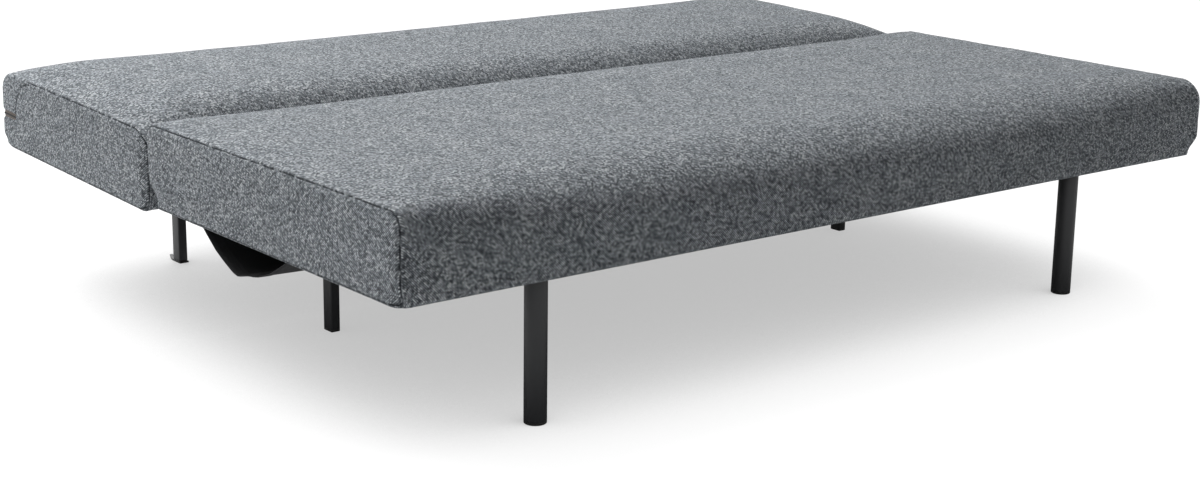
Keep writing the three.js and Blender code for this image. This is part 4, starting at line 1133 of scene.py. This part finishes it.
def dome(radius, height, count=48):
    """A riveted head on the plane z = 0: its height falls as a quarter ellipse."""
    a = np.linspace(0, math.pi / 2 * 0.94, 8)
    return turned([(radius * math.cos(t), 0.25 * height + 0.75 * height * math.sin(t)) for t in a][::-1]
                  + [(radius * 0.97, 0)], count)


def bar_between(start, stop, radius, rim=0.4, count=48):
    """A round bar along Z with a small chamfer at each end."""
    return turned([(radius - rim, start), (radius, start + rim), (radius, stop - rim),
                   (radius - rim, stop)], count)


def hexagon_head(radius, height):
    """Six-sided head on the plane z = 0 with its top corners chamfered, and a flange under it."""
    return [turned([(radius, 0.8), (radius, height - 0.9), (radius - 1.1, height)], 6),
            turned([(radius + 0.9, 0), (radius + 0.9, 0.7), (radius, 0.9)], 32)]


def outwards(shell, side, start=0.0):
    """A shell made along Z from z = 0, laid along X on one side of the sofa, from start outwards."""
    points, faces = along_x(shell)
    return (points + (start, 0, 0)) * (side, 1, 1), faces


def inwards(shell, side, start):
    """A shell made along Z from z = 0, laid along X on one side of the sofa, from start inwards."""
    points, faces = along_x(shell)
    return (points * (-1, 1, 1) + (start, 0, 0)) * (side, 1, 1), faces


def coil_spring(side):
    """Three turns round the pawl's pin, 2.4 mm apart, and a straight leg at each end."""
    a = np.linspace(0, 6 * math.pi, 110)
    start = ARM_X[1] + 1
    turns = np.column_stack([start + 2.4 * a / (2 * math.pi), 5.3 * np.cos(a), 5.3 * np.sin(a)])
    legs = [[(start, 5.3, z)] for z in (-14, -9, -4)]
    end = [[(turns[-1, 0], 5.3, z)] for z in (4, 8, 12)]
    return wire(np.concatenate([*legs, turns, *end]) * (side, 1, 1), 0.7, 8)


for side_name, side in SIDES:
    arm = pressed_plate([arm_outline(), hole((0, 0), 6.3), hole(PAWL_AT, 4.3),
                         *[hole((LEG_Y, z), 4.3, 16) for z in BOLT_Z]], ARM_X[1] - ARM_X[0], 0.6)
    at_pivot = {"y": PIVOT[1], "z": PIVOT[2]}
    at_pawl = {"y": PIVOT[1] + PAWL_AT[0], "z": PIVOT[2] + PAWL_AT[1]}
    assembled(f"swan_neck_arm_{side_name}", [arm], zinc_plate, "zinc_steel", "root",
              f"hinge_arm_{side_name}", x=side * sum(ARM_X) / 2, **at_pivot)
    pin = [outwards(bar_between(RATCHET_X[0] - 0.3, ARM_X[1] + 0.3, 6), side),
           outwards(dome(11, 3.6), side, ARM_X[1] + 0.3), inwards(dome(11, 3.6), side, RATCHET_X[0] - 0.3)]
    assembled(f"riveted_pin_{side_name}", pin, zinc_plate, "zinc_steel", "root",
              f"pivot_pin_{side_name}", **at_pivot)
    ring = pressed_plate([hole((0, 0), 13, 48), hole((0, 0), 6.6, 32)], WASHER_X[1] - WASHER_X[0], 0.3)
    assembled(f"thrust_washer_{side_name}", [ring], zinc_plate, "zinc_steel", "root",
              f"pivot_washer_{side_name}", x=side * sum(WASHER_X) / 2, **at_pivot)
    assembled(f"torsion_spring_{side_name}", [coil_spring(side)], spring_wire, "spring_steel", "root",
              f"pawl_spring_{side_name}", **at_pawl)

    finger = pressed_plate([pawl_outline(), hole((0, 0), 4.3)], RATCHET_X[1] - RATCHET_X[0], 0.5)
    body = f"pawl_{side_name}"
    assembled(f"pawl_finger_{side_name}", [finger], zinc_plate, "zinc_steel", body, body,
              x=side * sum(RATCHET_X) / 2, **at_pawl)
    pawl_pin = [outwards(bar_between(RATCHET_X[0], 690.5, 4), side),
                outwards(bar_between(RATCHET_X[1] + 0.3, ARM_X[0] - 0.3, 7.4), side)]
    assembled(f"pawl_rivet_{side_name}", pawl_pin, zinc_plate, "zinc_steel", body,
              f"pawl_pin_{side_name}", **at_pawl)

    toothed = pressed_plate([ratchet_outline(), hole((0, 0), 6.3), hole((29, -74.5), 3.2, 16),
                             hole((63, -74.5), 3.2, 16)], RATCHET_X[1] - RATCHET_X[0], 0.5)
    parts = [moved(toothed, x=side * sum(RATCHET_X) / 2)]
    parts += [moved(outwards(screw_head(5.6, 1.9), side, RATCHET_X[1]), y=y, z=-74.5) for y in (29, 63)]
    assembled(f"toothed_plate_{side_name}", parts, zinc_plate, "zinc_steel", "back",
              f"ratchet_{side_name}", tilt=TILT, **at_pivot)

    for z, level_name in zip(BOLT_Z, ("upper", "lower")):
        nut_face = LEG_X + 10.3
        parts = [outwards(bar_between(ARM_X[0] - 0.3, nut_face + 5.5, 4), side)]
        parts += [inwards(part, side, ARM_X[0] - 0.3) for part in hexagon_head(6.6, 5.3)]
        parts += [outwards(part, side, nut_face) for part in hexagon_head(6.5, 5)]
        assembled(f"hexagon_bolt_{side_name}_{level_name}", parts, zinc_plate, "zinc_steel", "root",
                  f"arm_bolt_{side_name}_{level_name}", y=MIDDLE_Y, z=PIVOT[2] + z)

# %% [markdown]
# A dust cover is one panel of spunbonded cloth stretched over the open underside, turned in at its
# edges and stapled every 55 mm. It sags by about a millimetre between its staples and a little
# more in the middle. The back's panel has a notch on each side, where a hinge arm swings.

# %% Sheets
def flat_sheet(xs, ys, height, keep=None):
    """A grid sheet in mm over the lines xs and ys with height(x, y), without the cells where
    keep(x, y) is false, and with its own places as cloth UV."""
    x, y = np.meshgrid(xs, ys, indexing="ij")
    points = np.stack([x, y, height(x, y)], axis=-1).reshape(-1, 3)
    i, k = (v.ravel() for v in np.meshgrid(np.arange(len(xs) - 1), np.arange(len(ys) - 1), indexing="ij"))
    n = len(ys)
    faces = np.stack([i * n + k, (i + 1) * n + k, (i + 1) * n + k + 1, i * n + k + 1], axis=1)
    if keep is not None:
        middle = points[faces].mean(axis=1)
        faces = faces[keep(middle[:, 0], middle[:, 1])]
    return points, faces, points[faces][..., :2] * MM


def with_thickness(obj, thickness):
    """Gives a sheet its thickness in metres, to both sides of its surface."""
    wall = obj.modifiers.new("thickness", "SOLIDIFY")
    wall.thickness, wall.offset = thickness, 0


def staples(places, turns, z):
    """Staples, 12 by 1.2 mm with a 0.6 mm crown, as low prisms under a sheet."""
    shells = []
    for (x, y), turn in zip(places, turns):
        size = (12, 1.2) if turn else (1.2, 12)
        loop = rounded_rectangle(*size, 0.5, 3)
        shells.append(moved(prism([0.94 * loop, loop, loop], (z - 0.6, z - 0.35, z)), x, y))
    return shells


def staple_places(half_x, low_y, high_y, step=55.0, skip=()):
    """Places along the four sides of a panel, and whether each staple lies along X."""
    xs = np.arange(-half_x + step / 2, half_x, step)
    ys = np.arange(low_y + step / 2, high_y, step)
    long_side = [(x, y) for y in (low_y, high_y) for x in xs
                 if y != low_y or not any(a < abs(x) < b for a, b in skip)]
    short_side = [(x, y) for x in (-half_x, half_x) for y in ys]
    return long_side + short_side, [True] * len(long_side) + [False] * len(short_side)


def dust_cover(name, depth, body, node, place, notches=()):
    """A block's dust cover and its staples, in the block's own frame, then put in place."""
    half_x, low, high = 949.2, BAY_WALL + 0.8, depth - BAY_WALL - 0.8
    cuts = [side * x for pair in notches for x in pair for side in (-1, 1)]
    xs = np.unique(np.concatenate([np.linspace(-half_x, half_x, 150), cuts]))
    ys = np.unique(np.concatenate([np.linspace(low, high, 60), [POCKET_OUTER] if notches else []]))

    def height(x, y):
        """A sag of 4 v (1 - v) (1 - u^2) in the middle, and ripples that fade in from the edge."""
        u, v = x / half_x, (y - low) / (high - low)
        edge = np.minimum(np.minimum(half_x - abs(x), y - low), high - y)
        slack = 1.8 * (1 - u ** 2) * 4 * v * (1 - v)
        ripples = 0.5 * np.sin(2 * math.pi * (x + y) / 55) * np.exp(-edge / 40) * smooth_step(edge, 0, 14)
        return 1.6 - slack - ripples

    def keep(x, y):
        """False inside a notch."""
        cut = [(abs(x) > a) & (abs(x) < b) & (y < POCKET_OUTER) for a, b in notches]
        return ~np.any(cut, axis=0) if notches else np.full(len(x), True)

    points, faces, uv = flat_sheet(xs, ys, height, keep)
    used, index = np.unique(faces, return_inverse=True)
    obj = mesh_piece(name, place(points[used] * MM), index.reshape(faces.shape), uv)
    with_thickness(obj, 0.0008)
    paint(obj, dust_cloth)
    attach(obj, body)
    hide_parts(node)
    shells = staples(*staple_places(half_x - 7, low + 7, high - 7, skip=notches), 1.2)
    pins = assembled(name + "_staples", placed(shells, place), zinc_plate, "zinc_steel", body)


dust_cover("seat_underside_cover", SEAT_DEPTH, "root", "seat_dust_cover", on_seat)
dust_cover("back_underside_cover", BACK_DEPTH, "back", "back_dust_cover", on_back, [POCKET_X])

# %% [markdown]
# Under the seat hangs a sling of black cloth, open at both ends, that keeps bedding. A strip along
# each edge is screwed up into the seat's frame and carries the sling's hem. The cloth hangs
# deepest behind its middle. Its ends are hemmed, and the hem, being stiffer, stands a little
# proud and keeps a crease from when it was folded.

# %% Sling
SLING_CENTRE, SLING_HALF, SLING_SAG, SLING_SKEW, SLING_END = 539.0, 161.0, 72.0, 0.25, 972.0
HEM_LINES = (19, 21, 23, 25, 27)
SLING_FOLDS = [(-161, 0), (-95, 38), (-28, 60), (28, 69), (44, 66), (106, 40), (150, 8), (161, 0)]


def sling_point(x, u):
    """Place on the sling: y = half u, z = -sag (1 - u^2)(1 + skew u). Towards the ends it goes over
    into the creased outline of SLING_FOLDS, whose pairs are a place across and a drop in mm. Long
    waves run along it, and short folds fan in from the hemmed ends."""
    from_end = SLING_END - abs(x)
    folded = np.interp(SLING_HALF * u, *zip(*SLING_FOLDS)) / SLING_SAG
    near = 0.9 * np.exp(-from_end / 300)
    drop = (1 - near) * (1 - u ** 2) * (1 + SLING_SKEW * u) + near * folded
    waves = 3.0 * np.cos(5 * math.pi * x / (2 * SLING_END))
    folds = 1.6 * np.sin(9 * u + x / 130) * np.exp(-from_end / 160) + 0.9 * np.sin(14 * u - x / 75)
    hem = 1.2 * (1 - smooth_step(from_end, 20, 26))
    crease = 2.6 * np.exp(-((u + 0.36 + from_end / 900) / 0.03) ** 2) * np.exp(-from_end / 220)
    z = -(SLING_SAG + waves + folds - crease) * drop - hem * drop
    return np.stack([x + 0 * u, SLING_HALF * u + SLING_CENTRE, z - 3.6], axis=-1)


x_lines = np.sort(np.concatenate([np.linspace(-SLING_END, SLING_END, 180),
                                  [side * (SLING_END - d) for d in HEM_LINES for side in (-1, 1)]]))
u_lines = np.sin(np.linspace(-1, 1, 73) * math.pi / 2)
grid_x, grid_u = np.meshgrid(x_lines, u_lines, indexing="ij")
hanging = sling_point(grid_x, grid_u)
girth = run_length(hanging[90])
_, faces, uv = flat_sheet(x_lines, girth, lambda x, y: 0 * x)
sling = mesh_piece("hanging_sling", on_seat(hanging.reshape(-1, 3) * MM), faces, uv)
with_thickness(sling, 0.0012)
paint(sling, sling_cloth)
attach(sling, "root")
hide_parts("under_seat_sling")
for row_name, way in (("front", -1), ("rear", 1)):
    middle_y = SLING_CENTRE + way * (SLING_HALF - 11)
    section = rounded_rectangle(22, 2.5, 1.0)
    strip = loft([np.column_stack([np.full(len(section), x), 0.97 * section if abs(x) > 971.5 else section])
                  for x in np.concatenate([[-972, -971], np.linspace(-960, 960, 9), [971, 972]])])
    parts = [moved(strip, y=middle_y, z=-1.55)]
    parts += [moved(upside_down(screw_head(4.2, 2.0)), x, middle_y, -2.8)
              for x in np.linspace(-930, 930, 9)]
    assembled(f"sling_batten_{row_name}", placed(parts, on_seat), moulded_plastic,
                            "black_cloth", "root", f"sling_strip_{row_name}")
print("sling girth", round(float(girth[-1])), "mm")

# %% [markdown]
# The back's cover opens along its rear for washing. The zip sits at the bottom of the channel,
# wraps round both rear corners and ends on the end faces. Its tape is woven polyester in a
# brownish grey, and its coil is a row of nylon loops 2.5 mm apart.

# %% Zip material
zip_weave, tree, shader = new_material("woven_zip_tape")
uv = add_node(tree, "ShaderNodeUVMap", uv_map="cloth").outputs["UV"]
rows = add_node(tree, "ShaderNodeTexWave", {
    "Vector": uv, "Scale": 1 / 0.0022, "Distortion": 1.5, "Detail Scale": 3},
    wave_type="BANDS", bands_direction="DIAGONAL")
tone = add_node(tree, "ShaderNodeValToRGB", {"Fac": rows.outputs["Fac"]},
                [(0.0, "#4a4440"), (1.0, "#7d746d")])
bump = add_node(tree, "ShaderNodeBump", {
    "Height": rows.outputs["Fac"], "Strength": 0.4, "Distance": 0.0003})
set_inputs(tree, shader, {"Base Color": tone.outputs["Color"], "Normal": bump.outputs["Normal"],
                          "Roughness": 0.8})

# %% [markdown]
# Tape and coil are small sections carried along the channel's floor. The slider is three shells:
# a body, a bridge of wire and a pull that hangs from it.

# %% Zip
COIL_PITCH, COIL_WAVE = 2.5, 0.7


def zip_path(sink):
    """Plan of the channel's floor, sink mm inside the skin: along one end face, round the rear
    corner, along the drawn-in rear, and the same again at the other end. Points (n, 2) in mm."""
    r = EDGE - sink
    rear_x = np.linspace(-1, 1, 161) * (HALF_LENGTH - EDGE)
    drawn_in = DRAW_IN * (1 - (rear_x / (HALF_LENGTH - EDGE)) ** 4)
    rear = np.column_stack([rear_x, BACK_DEPTH - sink - drawn_in])
    centre = np.array([HALF_LENGTH - EDGE, BACK_DEPTH - EDGE])
    right = arc(centre, r, 90, 0, 12)[1:]
    face = np.column_stack([np.full(8, HALF_LENGTH - sink), np.linspace(BACK_DEPTH - EDGE - 6, 594, 8)])
    end = np.concatenate([right, face])
    return np.concatenate([(end * (-1, 1))[::-1], rear, end])


def along_zip(sinks, heights, count=1500, wobble=None):
    """Loft of a small section along the channel: one rail (n, 3) for each pair of sink and height,
    all resampled to the same shares of length. wobble(at, n) is how far rail n is raised."""
    rails = []
    for n, (sink, height) in enumerate(zip(sinks, heights)):
        path = zip_path(sink)
        length = run_length(path)
        at = np.linspace(0, length[-1], count)
        plan = [np.interp(at, length, path[:, k]) for k in (0, 1)]
        rail = np.column_stack([*plan, np.full(count, height)])
        if wobble is not None:
            rail[:, 2] += wobble(at, n)
        rails.append(rail)
    return np.stack(rails, axis=1), at


tape_section = [(3.9, 8.0), (3.5, 7.6), (3.3, 4), (3.3, 0.8), (3.3, -0.8), (3.3, -4), (3.5, -7.6),
                (3.9, -8), (4.6, -8.0), (4.8, -7.6), (4.8, -4), (4.8, -0.8), (4.8, 0.8), (4.8, 4),
                (4.8, 7.6), (4.6, 8)]
sinks, heights = np.array(tape_section).T
tape_grid, at = along_zip(sinks, heights + ZIP_HEIGHT, 420)
points, faces = loft(tape_grid)
tape_faces = outward(points, faces)
tape_v = np.cumsum(np.linalg.norm(np.diff(tape_section, axis=0, prepend=tape_section[:1]), axis=1))
corner_u, corner_v = at[tape_faces // len(tape_section)], tape_v[tape_faces % len(tape_section)]
tape_uv = np.stack([corner_u, corner_v], axis=-1) * MM
tape = mesh_piece("zip_tape", on_back(points * MM), tape_faces, tape_uv)
paint(tape, zip_weave)
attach(tape, "back")
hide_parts("back_zip")


def coil_teeth(at, n):
    """Loops of the coil: a sine wave along it, full on the two upper front rails and 0.6 of that on
    the others."""
    return COIL_WAVE * np.sin(2 * math.pi * at / COIL_PITCH) * (1 if n in (1, 2) else 0.6)


coil_section = np.array([(3.3, 1.8), (2.3, 1.5), (1.9, 0.5), (1.9, -0.5), (2.3, -1.5), (3.3, -1.8)])
coil_grid, _ = along_zip(coil_section[:, 0], coil_section[:, 1] + ZIP_HEIGHT, 5200, coil_teeth)
assembled("zip_coil", placed([loft(coil_grid)], on_back), moulded_plastic, "black_plastic", "back")

slider_body = prism([rounded_rectangle(9 - 2 * i, 7.6 - 2 * i, 1.8 - i) for i in (0.6, 0, 0, 0.8)],
                    (0, 0.5, 1.8, 2.3))
bridge = wire(arc((0, 0), 2.0, 0, 330, 20)[:, [0, 1, 1]] * (1, 1, 0), 0.5, 8, ring=True)
pull = prism([rounded_rectangle(4.2 - 2 * i, 20 - 2 * i, 1.6 - i, 4) for i in (0.4, 0, 0, 0.4)],
             (0, 0.3, 0.9, 1.2))
slider = [(points[:, [0, 2, 1]] + (-930, BACK_DEPTH - 4.2, ZIP_HEIGHT), faces)
          for points, faces in (slider_body, moved(bridge, z=2.9), moved(pull, y=-11, z=2.4))]
assembled("zip_slider", placed(slider, on_back), zinc_plate, "zinc_steel", "back")

# %% [markdown]
# The floor and the air are plain and pale. To the camera the floor is mostly an emitter whose
# strength follows how open the place is to the sky, so that it reads white where nothing stands
# over it and light grey under the sofa, which is a painted shadow. It also takes the lamps' shadows.
# To every other ray it is an ordinary matt floor that sends some light back up. A wide sun stands
# behind the sofa to the right, and a large lamp hangs behind it to the left.

# %% Floor, world and lamps
scene = bpy.context.scene
scene.view_settings.view_transform = "Standard"

FLOOR_HALF = 14.0
floor_points = FLOOR_HALF * np.array([(-1, -1, 0), (1, -1, 0), (1, 1, 0), (-1, 1, 0)])
floor = mesh_piece("studio_floor", floor_points, np.array([[0, 1, 2, 3]]))
floor_with_painted_shadow, tree, shader = new_material("studio_floor")
grain = add_node(tree, "ShaderNodeTexNoise", {"Scale": 3.0})
pale = add_node(tree, "ShaderNodeValToRGB", {"Fac": grain.outputs["Fac"]},
                [(0.3, "#dedede"), (0.7, "#e0e0e0")])
matt = add_node(tree, "ShaderNodeBsdfDiffuse", {"Color": pale.outputs["Color"]})
half_lit = add_node(tree, "ShaderNodeBsdfDiffuse", {"Color": linear("#616161")})
# Painted shadow: ambient occlusion dims the floor's glow to half where the sofa stands over it.
openness_for_painted_shadow = add_node(tree, "ShaderNodeAmbientOcclusion", {"Distance": 1.1}, samples=12)
level = add_node(tree, "ShaderNodeMapRange", {"Value": openness_for_painted_shadow.outputs["AO"], "From Min": 0.04,
                                              "From Max": 0.8, "To Min": 0.5, "To Max": 1.0},
                 interpolation_type="SMOOTHSTEP")
glow_with_painted_shadow = add_node(tree, "ShaderNodeEmission", {
    "Color": linear("#ffffff"), "Strength": level.outputs[0]})
sweep = add_node(tree, "ShaderNodeAddShader", {0: half_lit.outputs[0], 1: glow_with_painted_shadow.outputs[0]})
path = add_node(tree, "ShaderNodeLightPath")
seen = add_node(tree, "ShaderNodeMixShader", {0: path.outputs["Is Camera Ray"], 1: matt.outputs[0],
                                              2: sweep.outputs[0]})
set_inputs(tree, tree.nodes["Material Output"], {"Surface": seen.outputs[0]})
paint(floor, floor_with_painted_shadow)

world = bpy.data.worlds.new("studio")
scene.world = world
world.use_nodes = True
tree = world.node_tree
path = add_node(tree, "ShaderNodeLightPath")
white = add_node(tree, "ShaderNodeMath", {0: path.outputs["Is Camera Ray"],
                                          1: path.outputs["Is Glossy Ray"]}, operation="MAXIMUM")
strength = add_node(tree, "ShaderNodeMapRange", {
    "Value": white.outputs[0], "To Min": 0.225, "To Max": 1.0})
set_inputs(tree, tree.nodes["Background"], {
    "Color": linear("#ffffff"), "Strength": strength.outputs[0]})


def lamp(name, kind, place, aim, energy, **settings):
    """A lamp at a place, turned to look at a point; settings are its size, angle or shape."""
    data = bpy.data.lights.new(name, kind)
    data.energy = energy
    for key, value in settings.items():
        setattr(data, key, value)
    made = bpy.data.objects.new(name, data)
    scene.collection.objects.link(made)
    way = Vector(aim) - Vector(place)
    made.matrix_world = Matrix.Translation(place) @ way.to_track_quat("-Z", "Y").to_matrix().to_4x4()


lamp("key", "SUN", (1.2, 2.6, 3.6), (0, 0, 0.3), 3.0, angle=math.radians(40))
lamp("top", "AREA", (-1.9, 1.6, 2.9), (-0.5, 0.1, 0.4), 110, size=1.8)
